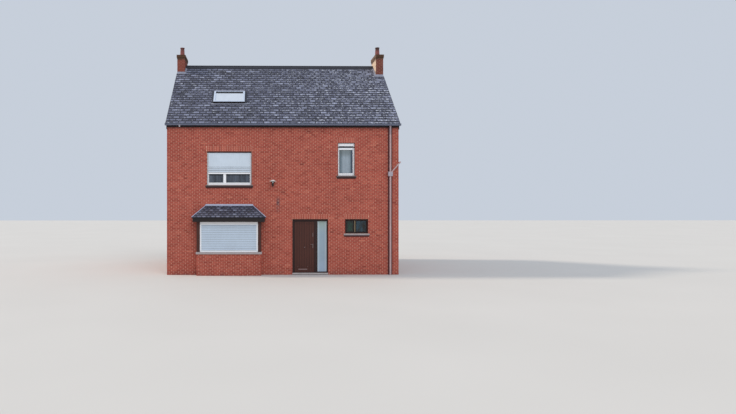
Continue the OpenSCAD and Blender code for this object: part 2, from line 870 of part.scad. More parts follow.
// A round pot that narrows to a rolled rim, open from end to end
module chimney_pots() {
  neck = pot_h - pot_rim_h;
  color(terracotta)
    for (dir = [-1, 1]) translate([dir * stack_x, stack_y(dir), stack_top_z])
      rotate_extrude()
        polygon([
          [pot_r - pot_t, 0], [pot_r, 0], [pot_r, mortar_h], [pot_neck_r, neck],
          [pot_neck_r + pot_t / 2, neck], [pot_neck_r + pot_t, neck + pot_rim_h / 2],
          [pot_neck_r + pot_t / 2, pot_h], [pot_neck_r - pot_t, pot_h]
        ]);
}

module white_window_frames() {
  color(white) on_side(0) {
    frame(wide_x, wide_sill_z, wide_w, wide_h - box_h, frame_bar, frame_rail,
          [wide_mullion], mullion_w);
    frame(narrow_x, narrow_sill_z, narrow_w, narrow_h - box_h, frame_bar, frame_rail,
          [], mullion_w);
    shutter_box(wide_x, upper_head_z, wide_w);
    shutter_box(narrow_x, narrow_head_z, narrow_w);
  }
}

module wide_window_glass() {
  color(glass) on_side(0)
    panes(wide_x, wide_sill_z, wide_w, wide_h - box_h, frame_bar, frame_rail,
          [wide_mullion], mullion_w);
}

module wide_window_shutter() {
  color(white) on_side(0) shutter(wide_x, upper_head_z, wide_w, wide_drop, wide_h, guide_w);
}

module narrow_window_glass() {
  color(glass) on_side(0)
    panes(narrow_x, narrow_sill_z, narrow_w, narrow_h - box_h, frame_bar, frame_rail,
          [], mullion_w);
}

module narrow_window_shutter() {
  color(white) on_side(0)
    shutter(narrow_x, narrow_head_z, narrow_w, narrow_drop, narrow_h, guide_w);
}

module low_window_frame() {
  color(brown) on_side(0)
    frame(low_x, low_sill_z, low_w, low_h, low_bar, low_bar, [low_mullion], low_mullion_w);
}

module low_window_glass() {
  color(glass) on_side(0)
    panes(low_x, low_sill_z, low_w, low_h, low_bar, low_bar, [low_mullion], low_mullion_w);
}

module window_sills() {
  color(stone) {
    on_side(0) {
      sill(wide_x, wide_sill_z, wide_w);
      sill(narrow_x, narrow_sill_z, narrow_w);
      sill(low_x, low_sill_z, low_w);
    }
    for (o = hidden_windows) on_side(o[0]) sill(o[1], o[2], o[3]);
    translate([wide_x - bay_w / 2 - sill_past / 2, bay_y - sill_out, bay_sill_z - sill_h])
      cube([bay_w + sill_past, bay_out + sill_out, sill_h]);
  }
}

// The fixed half of a hinge: plate, lower knuckle and the pin that stands in it
module fixed_hinge() {
  translate([-hinge_plate_w, frame_in_y - hinge_y, -knuckle_l])
    cube([hinge_plate_w, hinge_plate_t, knuckle_l]);
  translate([0, 0, -knuckle_l]) cylinder(h = knuckle_l, r = knuckle_r);
  cylinder(h = knuckle_l, r = pin_r);
}

// The leaf's half of a hinge: plate and upper knuckle, bored for the pin
module leaf_hinge() {
  face_y = leaf_y + leaf_t - hinge_y;
  plate_y = frame_in_y + hinge_plate_t - hinge_y;
  translate([0, 0, knuckle_play]) difference() {
    union() {
      translate([0, face_y - 1, 0]) cube([hinge_plate_w, plate_y - face_y + 1, knuckle_l]);
      cylinder(h = knuckle_l, r = knuckle_r);
    }
    translate([0, 0, -past]) cylinder(h = knuckle_l + 2 * past, r = pin_r + pin_play);
  }
}

// The door frame: jambs, head, post, the side light's rail, and a stop outside the leaf
module door_frame() {
  color(brown) {
    door_frame_bars();
    for (z = hinge_heights) translate([hinge_x, hinge_y, z]) fixed_hinge();
  }
}

module door_frame_bars() {
  head_z = ground_head_z - door_jamb;
  h = ground_head_z - ground_floor_z;
  translate([0, -half_d + door_set, 0]) difference() {
    translate([door_x, 0, ground_floor_z]) cube([doorway_w, door_frame_d, h]);
    translate([leaf_x - leaf_gap + stop_lap, -past, ground_floor_z - past])
      cube([leaf_w + 2 * leaf_gap - 2 * stop_lap, door_frame_d + 2 * past,
            head_z - stop_lap - ground_floor_z + past]);
    translate([leaf_x - leaf_gap, stop_t, ground_floor_z - past])
      cube([leaf_w + 2 * leaf_gap, door_frame_d, head_z - ground_floor_z + past]);
    translate([side_glass_x, -past, ground_floor_z + side_rail_h])
      cube([side_glass_w, door_frame_d + 2 * past, head_z - ground_floor_z - side_rail_h]);
  }
}

module door_threshold() {
  color(stone) translate([door_x, -half_d - threshold_out, 0])
    cube([doorway_w, wall_t + threshold_out, ground_floor_z]);
}

module side_light_glass() {
  color(glass)
    translate([side_glass_x, -half_d + door_set + (door_frame_d - side_glass_t) / 2,
               ground_floor_z + side_rail_h])
      cube([side_glass_w, side_glass_t,
            ground_head_z - door_jamb - ground_floor_z - side_rail_h]);
}

module door_leaf() {
  color(brown) {
    translate([leaf_x, leaf_y, leaf_z]) cube([leaf_w, leaf_t, leaf_h]);
    for (z = hinge_heights) translate([hinge_x, hinge_y, z]) leaf_hinge();
  }
}

// An upright plate with round ends on the leaf's face
module face_plate(x, z, r, h) {
  translate([x, 0, z]) rotate([90, 0, 0]) linear_extrude(plate_t) polygon(pill(r, h));
}

// A lever on its plate, standing out of the leaf's face towards -Y
module lever_set() {
  plate_x = leaf_x + leaf_w - lever_in - lever_plate_w / 2;
  grip_z = lever_z + lever_rise;
  face_plate(plate_x, lever_z, lever_plate_w / 2, lever_plate_h);
  translate([plate_x, 0, grip_z]) rotate([90, 0, 0]) cylinder(h = lever_out, r = lever_r);
  translate([plate_x, -lever_out, grip_z]) sphere(r = lever_r);
  translate([plate_x, -lever_out, grip_z]) rotate([0, -90, 0]) cylinder(h = lever_l, r = lever_r);
  translate([plate_x - lever_l, -lever_out, grip_z]) sphere(r = lever_r);
}

// A lever on each face, and the knob, upper lock and letter plate on the outer one
module door_furniture() {
  lock_x = leaf_x + leaf_w - lever_in - lever_plate_w / 2;
  color(steel) translate([0, leaf_y + leaf_t, 0]) mirror([0, 1, 0]) lever_set();
  color(steel) translate([0, leaf_y, 0]) {
    lever_set();
    translate([leaf_x + leaf_w / 2, 0, knob_z]) rotate([90, 0, 0]) rotate_extrude()
      polygon([
        [0, 0], [knob_r * 0.8, 0], [knob_r * 0.8, plate_t], [knob_r * 0.4, plate_t * 1.5],
        [knob_r * 0.4, knob_out * 0.5], [knob_r, knob_out * 0.65], [knob_r, knob_out * 0.85],
        [knob_r * 0.7, knob_out], [0, knob_out]
      ]);
    face_plate(lock_x, lock_z, lock_r, lock_h);
    translate([lock_x, 0, lock_z]) rotate([90, 0, 0]) cylinder(h = plate_t * 2, r = lock_r * 0.7);
    translate([leaf_x + leaf_w / 2 - letter_off - letter_w / 2, -plate_t, letter_z - letter_h / 2])
      cube([letter_w, plate_t, letter_h]);
  }
}

// The brick apron under the bay, standing on the ground against the front wall
module bay_apron() {
  color(brick) translate([wide_x - bay_w / 2, bay_y, 0])
    cube([bay_w, bay_out, bay_sill_z - sill_h]);
}

// The timber cheeks and the soffit board that closes the bay's top
module bay_timber() {
  color(brown) {
    for (dir = [-1, 1])
      translate([wide_x + dir * (bay_w - cheek_t) / 2 - cheek_t / 2, bay_y, bay_sill_z])
        cube([cheek_t, bay_out, bay_head_z - bay_sill_z]);
    translate([wide_x - bay_eave_w / 2 + soffit_in, -half_d - bay_roof_out + soffit_in, bay_head_z])
      cube([bay_eave_w - 2 * soffit_in, bay_roof_out - soffit_in, soffit_t]);
  }
}

module bay_window_frame() {
  h = bay_head_z - bay_sill_z;
  color(white)
    translate([0, bay_y + bay_window_set - window_set, 0])
      frame(wide_x, bay_sill_z, bay_inner_w, h, frame_bar, frame_rail,
            [bay_inner_w / 2], mullion_w);
}

// The bay's closed shutter, between its guides and under its box
module bay_shutter() {
  h = bay_head_z - bay_sill_z;
  depth = bay_window_set - bay_shutter_set;
  color(white) translate([wide_x - bay_inner_w / 2, bay_y + bay_shutter_set, bay_sill_z]) {
    for (gx = [0, bay_inner_w - guide_w]) translate([gx, 0, 0]) cube([guide_w, depth, h]);
    translate([guide_w, (depth - shutter_t) / 2, 0])
      cube([bay_inner_w - 2 * guide_w, shutter_t, h]);
    translate([guide_w, (depth - lath_t) / 2, 0]) cube([bay_inner_w - 2 * guide_w, lath_t, lath_h]);
    translate([guide_w, 0, h - bay_box_h]) cube([bay_inner_w - 2 * guide_w, depth, bay_box_h]);
  }
}

// The bay's roof: a slope to the front and a hip to each side, all at one pitch
module bay_hips() {
  eave = bay_eave_w / 2;
  top = bay_roof_top_w / 2;
  intersection() {
    translate([wide_x, -half_d, 0]) along_x(bay_eave_w + past)
      polygon([
        [0, bay_eave_z], [-bay_roof_out, bay_eave_z], [-bay_roof_out, bay_eave_z + bay_slate_t],
        [0, bay_eave_z + bay_roof_h]
      ]);
    translate([wide_x, -half_d + past, 0]) rotate([90, 0, 0])
      linear_extrude(bay_roof_out + 2 * past)
        polygon([
          [-eave, bay_eave_z], [eave, bay_eave_z], [eave, bay_eave_z + bay_slate_t],
          [top, bay_eave_z + bay_roof_h], [-top, bay_eave_z + bay_roof_h],
          [-eave, bay_eave_z + bay_slate_t]
        ]);
  }
}

module bay_roof() {
  color(slate) bay_hips();
}

// Zinc on the bay's roof: an upstand against the wall and a roll down each hip
module bay_flashing() {
  top_z = bay_eave_z + bay_roof_h;
  color(zinc) {
    translate([wide_x - bay_roof_top_w / 2, -half_d - bay_zinc_t, top_z])
      cube([bay_roof_top_w, bay_zinc_t, bay_zinc_h]);
    for (dir = [-1, 1]) intersection() {
      difference() {
        pipe_run([wide_x + dir * bay_roof_top_w / 2, -half_d, top_z + hip_r / 2],
                 [wide_x + dir * bay_eave_w / 2, -half_d - bay_roof_out,
                  bay_eave_z + bay_slate_t + hip_r / 2],
                 hip_r);
        bay_hips();
      }
      translate([wide_x - bay_eave_w, -half_d - 2 * bay_roof_out, bay_eave_z])
        cube([2 * bay_eave_w, 2 * bay_roof_out, 2 * bay_roof_h]);
    }
  }
}

// The lamp's plate on the wall, its arm and the holder that narrows to a tip
module lamp_bracket() {
  color(dark_board) translate([lamp_x, -half_d, lamp_z]) {
    translate([-lamp_plate_w / 2, -plate_t, -lamp_plate_h])
      cube([lamp_plate_w, plate_t, lamp_plate_h]);
    translate([0, 0, -lamp_plate_h / 2]) rotate([90, 0, 0]) cylinder(h = lamp_out, r = lamp_arm_r);
    translate([0, -lamp_out, -holder_h]) rotate_extrude()
      polygon([
        [0, 0], [holder_tip_r, 0], [neck_r * 0.7, holder_h * 0.45], [neck_r, holder_h * 0.65],
        [holder_r, holder_h], [0, holder_h]
      ]);
  }
}

module lamp_shade() {
  color(white) translate([lamp_x, -half_d - lamp_out, lamp_z]) rotate_extrude()
    polygon([
      [0, 0], [lamp_r, 0], [lamp_r, lamp_t], [lamp_r * 0.55, lamp_h * 0.7],
      [lamp_r * 0.3, lamp_h], [0, lamp_h]
    ]);
}

module hidden_side_frames() {
  color(white)
    for (o = hidden_windows) on_side(o[0])
      frame(o[1], o[2], o[3], o[4], frame_bar, frame_rail, hidden_mullions(o), mullion_w);
}

module hidden_side_glass() {
  color(glass) {
    for (o = hidden_windows) on_side(o[0])
      panes(o[1], o[2], o[3], o[4], frame_bar, frame_rail, hidden_mullions(o), mullion_w);
    translate([0, bay_y + bay_window_set - window_set, 0])
      panes(wide_x, bay_sill_z, bay_inner_w, bay_head_z - bay_sill_z, frame_bar, frame_rail,
            [bay_inner_w / 2], mullion_w);
  }
}

front_wall_left();
front_wall_over_door();
front_wall_right();
back_wall();
left_gable_wall();
right_gable_wall();
ground_floor();
first_floor();
attic_floor();
front_roof_slope();
back_roof_slope();
ridge_capping();
verge_boards();
eaves_boards();
gutters();
downpipes();
roof_flashings();
roof_window_frame();
roof_window_glass();
chimney_stacks();
chimney_pots();
white_window_frames();
wide_window_glass();
wide_window_shutter();
narrow_window_glass();
narrow_window_shutter();
low_window_frame();
low_window_glass();
window_sills();
door_frame();
door_threshold();
side_light_glass();
bay_apron();
bay_timber();
bay_window_frame();
bay_shutter();
bay_roof();
bay_flashing();
lamp_bracket();
lamp_shade();
hidden_side_frames();
hidden_side_glass();
door_leaf();
door_furniture();
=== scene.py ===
import math

import bpy
import numpy as np
from numpy.random import default_rng
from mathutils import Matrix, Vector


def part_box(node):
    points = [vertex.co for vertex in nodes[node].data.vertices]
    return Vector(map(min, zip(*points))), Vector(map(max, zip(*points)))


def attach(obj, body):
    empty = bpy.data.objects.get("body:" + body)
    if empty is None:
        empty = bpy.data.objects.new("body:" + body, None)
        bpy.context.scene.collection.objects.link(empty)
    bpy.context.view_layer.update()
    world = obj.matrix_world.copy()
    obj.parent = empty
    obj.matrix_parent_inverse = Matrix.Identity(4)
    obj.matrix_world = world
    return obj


# Detached brick house: bricks, slates, laths, sashes and boards round the fixed frame
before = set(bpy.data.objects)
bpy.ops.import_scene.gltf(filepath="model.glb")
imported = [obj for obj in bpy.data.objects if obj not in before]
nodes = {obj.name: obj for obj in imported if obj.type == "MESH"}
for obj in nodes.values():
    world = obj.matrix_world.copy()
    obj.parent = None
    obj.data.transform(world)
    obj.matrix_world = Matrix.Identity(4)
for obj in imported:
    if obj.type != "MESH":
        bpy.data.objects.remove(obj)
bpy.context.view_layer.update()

# Colours, as a screen shows them from 0 to 255

look = {
    "brickBurnt": (128, 60, 52), "brickDark": (152, 72, 60), "brickRed": (168, 83, 70),
    "brickOrange": (180, 94, 78), "brickPale": (194, 114, 94), "mortar": (228, 184, 160),
    "bedMortar": (160, 112, 98), "plaster": (214, 208, 198), "stain": (84, 68, 76),
    "damp": (72, 46, 50), "slateDark": (48, 50, 66), "slateMid": (90, 94, 116),
    "slatePale": (142, 149, 174), "slateGrime": (24, 25, 34), "lichen": (190, 197, 212),
    "moss": (112, 108, 62), "underSlate": (44, 45, 52), "ridge": (40, 42, 52),
    "stainedBoard": (27, 20, 20), "timber": (70, 35, 27), "timberEdge": (88, 46, 34),
    "darkTimber": (44, 22, 20), "gutterZinc": (96, 102, 120), "spout": (206, 208, 214),
    "pipeZinc": (190, 162, 162), "pipeUpper": (157, 141, 146), "pipeBox": (166, 160, 170),
    "lead": (148, 152, 168), "windowLead": (52, 54, 64), "bayZinc": (176, 182, 206),
    "terracotta": (132, 81, 78), "soot": (62, 50, 47), "stackGrime": (62, 56, 50),
    "crownMoss": (74, 60, 44), "limewash": (246, 220, 192), "worn": (136, 112, 96),
    "white": (246, 248, 251), "shutterWhite": (206, 219, 231), "bayShutterWhite": (193, 209, 225),
    "lathJoint": (120, 126, 138), "slot": (58, 64, 76), "brush": (88, 90, 96),
    "bluestone": (62, 52, 52), "washedStone": (118, 108, 108), "paleStone": (178, 172, 170),
    "paleSill": (164, 156, 157), "iron": (40, 36, 36), "enamel": (230, 228, 222),
    "roofBar": (200, 212, 230), "handle": (112, 96, 94), "flap": (140, 116, 114),
    "screed": (170, 166, 158), "gasket": (18, 18, 20), "sealant": (62, 34, 32),
    "hook": (206, 210, 218), "bulb": (244, 244, 238), "coverStrip": (124, 113, 84),
    "clearPane": (70, 78, 88), "widePane": (74, 81, 91), "roofPane": (204, 213, 224),
    "dimRoom": (20, 16, 12), "greenPane": (26, 64, 52), "bluePane": (36, 66, 80),
    "netEdge": (106, 122, 132), "net": (152, 166, 176), "netHead": (92, 102, 98),
    "netRight": (66, 76, 92), "figuredFoot": (160, 181, 202), "figured": (152, 173, 188),
    "figuredHead": (160, 180, 176), "figuredEdge": (192, 206, 214), "black": (0, 0, 0),
    "floor": (204, 203, 200), "sky": (222, 231, 244),
}


def shade(value):
    # a colour's name as four linear numbers; other values stay
    if not isinstance(value, str):
        return value
    parts = [part / 255 for part in look[value]]
    return (*[p / 12.92 if p <= 0.04045 else ((p + 0.055) / 1.055) ** 2.4 for p in parts], 1.0)


# Shader tools


class Wire:
    # one output socket, on which sums add Math nodes
    def __init__(self, mat, socket):
        self.mat = mat
        self.socket = socket

    def sum(self, operation, first, second=0.0):
        return self.mat.add("Math", {"operation": operation}, {0: first, 1: second})

    def __add__(self, other):
        return self.sum("ADD", self, other)

    def __radd__(self, other):
        return self.sum("ADD", other, self)

    def __sub__(self, other):
        return self.sum("SUBTRACT", self, other)

    def __rsub__(self, other):
        return self.sum("SUBTRACT", other, self)

    def __mul__(self, other):
        return self.sum("MULTIPLY", self, other)

    def __rmul__(self, other):
        return self.sum("MULTIPLY", other, self)

    def __truediv__(self, other):
        return self.sum("DIVIDE", self, other)

    def __mod__(self, other):
        return self.sum("FLOORED_MODULO", self, other)

    def __abs__(self):
        return self.sum("ABSOLUTE", self)

    def __lt__(self, other):
        return self.sum("LESS_THAN", self, other)

    def __gt__(self, other):
        return self.sum("GREATER_THAN", self, other)

    def between(self, low, high):
        return (self > low) * (self < high)


class Finish:
    # one material, whose nodes come from add(), where a text is a colour's name
    constants = {"rough": "Roughness", "specular": "Specular IOR Level", "metallic": "Metallic",
                 "alpha": "Alpha", "bending": "IOR", "coatRough": "Coat Roughness"}

    def __init__(self, name, **fixed):
        self.material = bpy.data.materials.new(name)
        self.material.use_nodes = True
        self.tree = self.material.node_tree
        self.shader = self.tree.nodes["Principled BSDF"]
        for key, value in fixed.items():
            self.shader.inputs[self.constants[key]].default_value = value
        self.place = self.add("TexCoord", out="Object")
        self.x, self.y, self.z = (
            self.add("SeparateXYZ", None, {0: self.place}, axis) for axis in "XYZ")

    def add(self, kind, settings=None, sockets=None, out=0):
        node = self.tree.nodes.new("ShaderNode" + kind)
        for key, value in (settings or {}).items():
            if key != "stops":
                setattr(node, key, value)
                continue
            marks = node.color_ramp.elements
            while len(marks) < len(value):
                marks.new(1.0)
            for mark, (position, colour) in zip(marks, value):
                mark.position = position
                mark.color = shade(colour)
        for key, value in (sockets or {}).items():
            if isinstance(value, Wire):
                self.tree.links.new(value.socket, node.inputs[key])
            else:
                node.inputs[key].default_value = shade(value)
        return Wire(self, node.outputs[out])

    def noise(self, scale, detail=2.0, rough=0.5, stretch=None):
        where = self.place
        if stretch:
            where = self.add("Mapping", None, {"Vector": where, "Scale": stretch})
        sockets = {"Vector": where, "Scale": scale, "Detail": detail, "Roughness": rough}
        return self.add("TexNoise", None, sockets)

    def own(self, attribute):
        return self.add("Attribute", {"attribute_name": attribute}, None, "Fac")

    def ramp(self, value, *stops):
        return self.add("ValToRGB", {"stops": stops}, {0: value})

    def ease(self, value, low, high):
        # nought below low, one above high, a smooth rise between
        settings = {"interpolation_type": "SMOOTHSTEP"}
        return self.add("MapRange", settings, {"Value": value, "From Min": low, "From Max": high})

    def mix(self, first, second, factor, blend="MIX"):
        settings = {"data_type": "RGBA", "blend_type": blend}
        return self.add("Mix", settings, {0: factor, 6: first, 7: second}, 2)

    def shaded(self, colour, value, depth):
        # colour darker where value, or its numbers' noise, is low, and lighter where it is high
        if isinstance(value, tuple):
            value = self.noise(*value)
        grey = self.ramp(value, (0.25, (1 - depth,) * 3 + (1,)), (0.75, (1 + depth,) * 3 + (1,)))
        return self.mix(colour, grey, 1.0, "MULTIPLY")

    def done(self, colour, dent=None, rough=None):
        # dent is the height, the strength and the distance of a bump
        wires = {"Base Color": colour, "Roughness": rough}
        if dent:
            wires["Normal"] = self.add("Bump", None, dict(zip(("Height", "Strength", "Distance"), dent)))
        for socket, wire in wires.items():
            if wire:
                self.tree.links.new(wire.socket, self.shader.inputs[socket])
        return self.material


# Surface tools: whole arrays in, one mesh out


def gridFaces(rows, columns, closed=False):
    # quads of a grid of rows by columns; closed joins the last row to the first
    index = np.arange(rows * columns).reshape(rows, columns)
    if closed:
        index = np.concatenate([index, index[:1]])
    corners = [index[:-1, :-1], index[:-1, 1:], index[1:, 1:], index[1:, :-1]]
    return np.stack(corners, axis=-1).reshape(-1, 4)


def joined(parts):
    # several (points, faces) surfaces as one, their faces counted on
    starts = np.cumsum([0] + [len(part[0]) for part in parts[:-1]])
    faces = [part[1] + start for part, start in zip(parts, starts)]
    return np.concatenate([part[0] for part in parts]), np.concatenate(faces)


def linked(name, data):
    made = bpy.data.objects.new(name, data)
    bpy.context.scene.collection.objects.link(made)
    return made


def surface(name, points, faces, mat, smooth=False, marks=None):
    # the arrays as one mesh; marks are numbers at its points that the finish reads
    mesh = bpy.data.meshes.new(name)
    mesh.from_pydata(points, [], faces, shade_flat=not smooth)
    for mark, values in (marks or {}).items():
        layer = mesh.attributes.new(mark, "FLOAT", "POINT")
        layer.data.foreach_set("value", values.astype(np.float32))
    mesh.materials.append(mat)
    return linked(name, mesh)


def piece(name, shape, mat, body="house", smooth=False, marks=None):
    made = surface(name, *shape, mat, smooth, marks)
    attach(made, body)


def unit(vectors):
    return vectors / np.maximum(np.linalg.norm(vectors, axis=-1, keepdims=True), 1e-9)


blockPoints, blockFaces = 12, 9


def blocks(corners, outward, thick, arris):
    # each block is three rings of four corners carried outwards, foot, arris and face, the face's
    # corners drawn in along both their edges by the arris
    toNext = unit(np.roll(corners, -1, 1) - corners)
    toLast = unit(np.roll(corners, 1, 1) - corners)
    rise = np.broadcast_to(thick, len(corners))[:, None, None] * outward
    drawnIn = corners + arris * (toNext + toLast)
    rings = np.stack([corners, corners + rise - arris * outward, drawnIn + rise], 1)
    around = np.arange(4)
    onwards = (around + 1) % 4
    walls = [np.stack([r + around, r + onwards, r + 4 + onwards, r + 4 + around], 1) for r in (0, 4)]
    pattern = np.concatenate(walls + [8 + around[None]])
    faces = pattern[None] + blockPoints * np.arange(len(corners))[:, None, None]
    return rings.reshape(-1, 3), faces.reshape(-1, 4)


# Finishes of bricks and mortar

# the pipe, gutter and sill rows place painted shade, those along the right stack's face painted sunlight
dirtAndLight = {
    "frontY": -4.0, "pipeX": 4.632, "pipeHalf": (0.08, 0.115), "underGutter": (6.26, 6.4),
    "crown": (10.17, 10.29), "splash": (0.02, 0.3), "streakX": -0.215, "streakHalf": (0.0315, 0.105),
    "streakFoot": (2.66, 2.86), "streakHead": (3.16, 3.46),
    "sills": ((-2.32, 1.0, 3.785), (2.735, 0.405, 4.195), (3.182, 0.54, 1.69)),  # middle, half, foot
    "drip": (0.075, 0.04, 0.002), "sunlitX": (4.4, 4.682), "sunlitFoot": (9.54, 9.68),
    "sunlitHead": (10.08, 10.2),
}
bedding = {"course": 0.075, "bed": 0.0108, "rooms": (4.69, 3.74, 8.9)}


def stackSootAndSunlight(mat, base, darkening, share):
    # darker all over, moss and soot at the crown, painted sunlight on the right stack's face along the ridge
    base = mat.mix(base, "stackGrime", darkening)
    top = mat.ease(mat.z + mat.noise(5.0, 3.0) * 0.12, *dirtAndLight["crown"])
    base = mat.mix(base, "crownMoss", top * 0.85)
    # painted sunlight: cream in patches, browner towards the top and darker at its foot
    patchy = mat.ease(mat.noise(7.0, 3.0, 0.6), 0.3, 0.5)
    sunlit = mat.mix("limewash", "worn", mat.ease(mat.z, *dirtAndLight["sunlitHead"]))
    sunlit = mat.mix("damp", sunlit, 0.4 + 0.6 * mat.ease(mat.z, *dirtAndLight["sunlitFoot"]))
    return mat.mix(base, sunlit, mat.x.between(*dirtAndLight["sunlitX"]) * (share - 0.35 * (1 - patchy)))


def paintedFrontShade(mat, base):
    # painted shade on the front: beside the pipe, less under the gutter, and a dark line under each sill
    onFront = mat.y < dirtAndLight["frontY"]
    near = 1 - mat.ease(abs(mat.x - dirtAndLight["pipeX"]), *dirtAndLight["pipeHalf"])
    under = mat.ease(mat.z, *dirtAndLight["underGutter"])
    base = mat.mix(base, "damp", onFront * (near * 0.85 + (1 - near) * under * 0.6))
    faint, full, over = dirtAndLight["drip"]
    for middle, half, foot in dirtAndLight["sills"]:
        below = mat.ease(mat.z, foot - faint, foot - full) * (mat.z < foot + over)
        below = below * (abs(mat.x - middle) < half)
        base = mat.mix(base, "damp", below * onFront * 0.85)
    return base


def streakMask(mat):
    # one broken upright mark, soft at its sides and ends
    across = 1 - mat.ease(abs(mat.x - dirtAndLight["streakX"]), *dirtAndLight["streakHalf"])
    upright = mat.ease(mat.z, *dirtAndLight["streakFoot"]) * (1 - mat.ease(mat.z, *dirtAndLight["streakHead"]))
    broken = mat.ease(mat.noise(9.0, 3.0, 0.6), 0.3, 0.55)
    return across * upright * (mat.y < dirtAndLight["frontY"]) * broken


def brickFinish(name, sooty):
    # each brick's own tone, with fine and slow clouds over it
    mat = Finish(name, rough=0.86, specular=0.25)
    red = mat.ramp(
        mat.own("tone"), (0.0, "brickBurnt"), (0.1, "brickDark"), (0.5, "brickRed"),
        (0.9, "brickOrange"), (1.0, "brickPale"))
    red = mat.shaded(red, (38.0, 4.0, 0.6), 0.12)
    red = mat.shaded(red, (0.45, 3.0, 0.55), 0.07)
    if sooty:
        # on a stack: darker, soot at the crown and painted sunlight on the right stack's face
        red = stackSootAndSunlight(mat, red, 0.42 + 0.16 * (mat.x > 0.0), 0.9)
    else:
        red = mat.mix(red, "stain", streakMask(mat) * 0.8)
        splash = 1 - mat.ease(mat.z, *dirtAndLight["splash"])
        splash = splash * mat.ease(mat.noise(3.0, 4.0, 0.6), 0.35, 0.65)
        # a splashed band at the foot, then painted shade over the front
        red = paintedFrontShade(mat, mat.mix(red, "damp", splash * 0.4))
    return mat.done(red, (mat.noise(160.0, 3.0, 0.65), 0.5, 0.002))


def mortarFinish(name, sooty):
    # pale upright joints and bed joints painted greyer as the shade in their recess, and plaster in the
    # rooms
    mat = Finish(name, rough=0.95, specular=0.15)
    bed = (mat.z % bedding["course"]) < bedding["bed"]
    grey = mat.shaded(mat.mix("mortar", "bedMortar", bed), (55.0, 4.0, 0.65), 0.14)
    # stacks get painted sunlight on one face, the front wall painted shade
    grey = stackSootAndSunlight(mat, grey, 0.5, 0.8) if sooty else paintedFrontShade(mat, grey)
    halfWidth, halfDepth, height = bedding["rooms"]
    inside = (abs(mat.x) < halfWidth) * (abs(mat.y) < halfDepth) * (mat.z < height)
    grey = mat.mix(grey, "plaster", inside)
    return mat.done(grey, (mat.noise(220.0, 3.0, 0.7), 0.6, 0.002))


# Finishes of slates, timber, stone and metal


def slateFinish(name, dim, mossy):
    # each slate's own tone, painted shade under the tail above, at its sides and tail edge, and pale lichen
    mat = Finish(name, rough=0.55, specular=0.45)
    grey = mat.ramp(mat.own("tone"), (0.0, "slateDark"), (0.55, "slateMid"), (1.0, "slatePale"))
    grain = mat.noise(26.0, 5.0, 0.65, (1.0, 0.45, 0.45))
    grey = mat.shaded(grey, grain, 0.2)
    grey = mat.shaded(grey, (0.5, 3.0, 0.6), 0.14)
    tail = mat.own("tail")
    upper = 1 - mat.ease(tail, 0.26, 0.68)
    edge = mat.ease(abs(mat.own("across")), 0.74, 0.92)
    ragged = 0.75 + 0.6 * mat.noise(11.0, 3.0, 0.6)
    darkening = upper * 0.84 + (1 - upper) * edge * 0.74 + mat.ease(tail, 0.92, 0.98) * 0.4
    # painted shade: darker under the tail above, along the sides and at the tail
    grey = mat.mix(grey, "slateGrime", ragged * darkening)
    # lichen spots, more of them towards the right, where they add a painted sheen
    sheenRightward = mat.ease(mat.x, -3.0, 5.0)
    spots = mat.ease(mat.noise(12.0, 3.0, 0.65) + 0.05 * sheenRightward, 0.58, 0.655)
    spots = spots * (0.15 + 0.85 * mat.ease(tail, 0.45, 0.8)) * (0.25 if mossy else 0.9)
    grey = mat.mix(grey, "lichen", spots)
    if mossy:
        grey = mat.mix(grey, "moss", mat.ease(mat.noise(3.4, 4.0, 0.7), 0.58, 0.7) * 0.35)
    rough = mat.noise(60.0, 5.0, 0.7, (1.0, 0.3, 0.3))
    return mat.done(mat.mix(grey, "black", dim), (rough, 0.35, 0.004), 0.45 + 0.3 * grain)


def underSlateFinish():
    # what shows between the slates and under their edges
    mat = Finish("under_slates", rough=0.8, specular=0.2)
    return mat.done(mat.shaded("underSlate", (14.0, 4.0, 0.6), 0.25))


def plainFinish(name, base, rough, grainScale, grainDepth, dentHeight, metallic=0.0):
    # one colour with grain in tone, roughness and surface, and slow clouds
    mat = Finish(name, metallic=metallic, specular=0.4)
    grain = mat.noise(grainScale, 5.0, 0.6)
    tone = mat.shaded(base, grain, grainDepth)
    tone = mat.shaded(tone, (1.3, 3.0, 0.6), 0.5 * grainDepth)
    return mat.done(tone, (grain, 0.4, dentHeight), rough - 0.12 + 0.24 * grain)


def timberFinish(name, base, upright, boarded=()):
    # noise squeezed across the boards; boarded is the first board's edge and the boards' step
    mat = Finish(name, specular=0.35, coatRough=0.35)
    stretch = (14.0, 14.0, 0.9) if upright else (0.9, 14.0, 14.0)
    grain = mat.noise(5.0, 6.0, 0.65, stretch)
    tone = mat.shaded(base, grain, 0.28)
    tone = mat.shaded(tone, (2.2, 3.0, 0.6), 0.12)
    if boarded:
        row = ((mat.x - boarded[0]) / boarded[1]) % 1.0
        tone = mat.mix(tone, "timberEdge", 0.7 * (1 - mat.ease(row, 0.25, 0.6)))
        tone = mat.mix(tone, "darkTimber", 0.9 * (row < 0.17))
    return mat.done(tone, (grain, 0.3, 0.0012), 0.38 + 0.3 * grain)


def stoneFinish(name, tooled, baseOf):
    # sawn stone with fine upright tool marks
    mat = Finish(name, specular=0.3)
    grain = mat.noise(70.0, 5.0, 0.7)
    sockets = {"Vector": mat.place, "Scale": 22.0, "Distortion": 0.6, "Detail": 1.0}
    marks = mat.add("TexWave", {"bands_direction": "X"}, sockets)
    tone = mat.shaded(baseOf(mat), grain, 0.16)
    tone = mat.shaded(tone, (3.5, 4.0, 0.65), 0.16)
    return mat.done(tone, (marks * tooled + grain * 0.5, 0.5, 0.002), 0.68 + 0.2 * grain)


# heights of a painted highlight on the sills' upper edges and of painted shade low on the low sill and the
# step
stone = {"gableX": 4.99, "litEdge": (3.84, 3.912), "gableUp": 0.03, "narrowLitEdge": (4.24, 4.29),
         "drip": (1.685, 1.722), "upstairs": 2.6, "ground": (0.018, 0.034)}


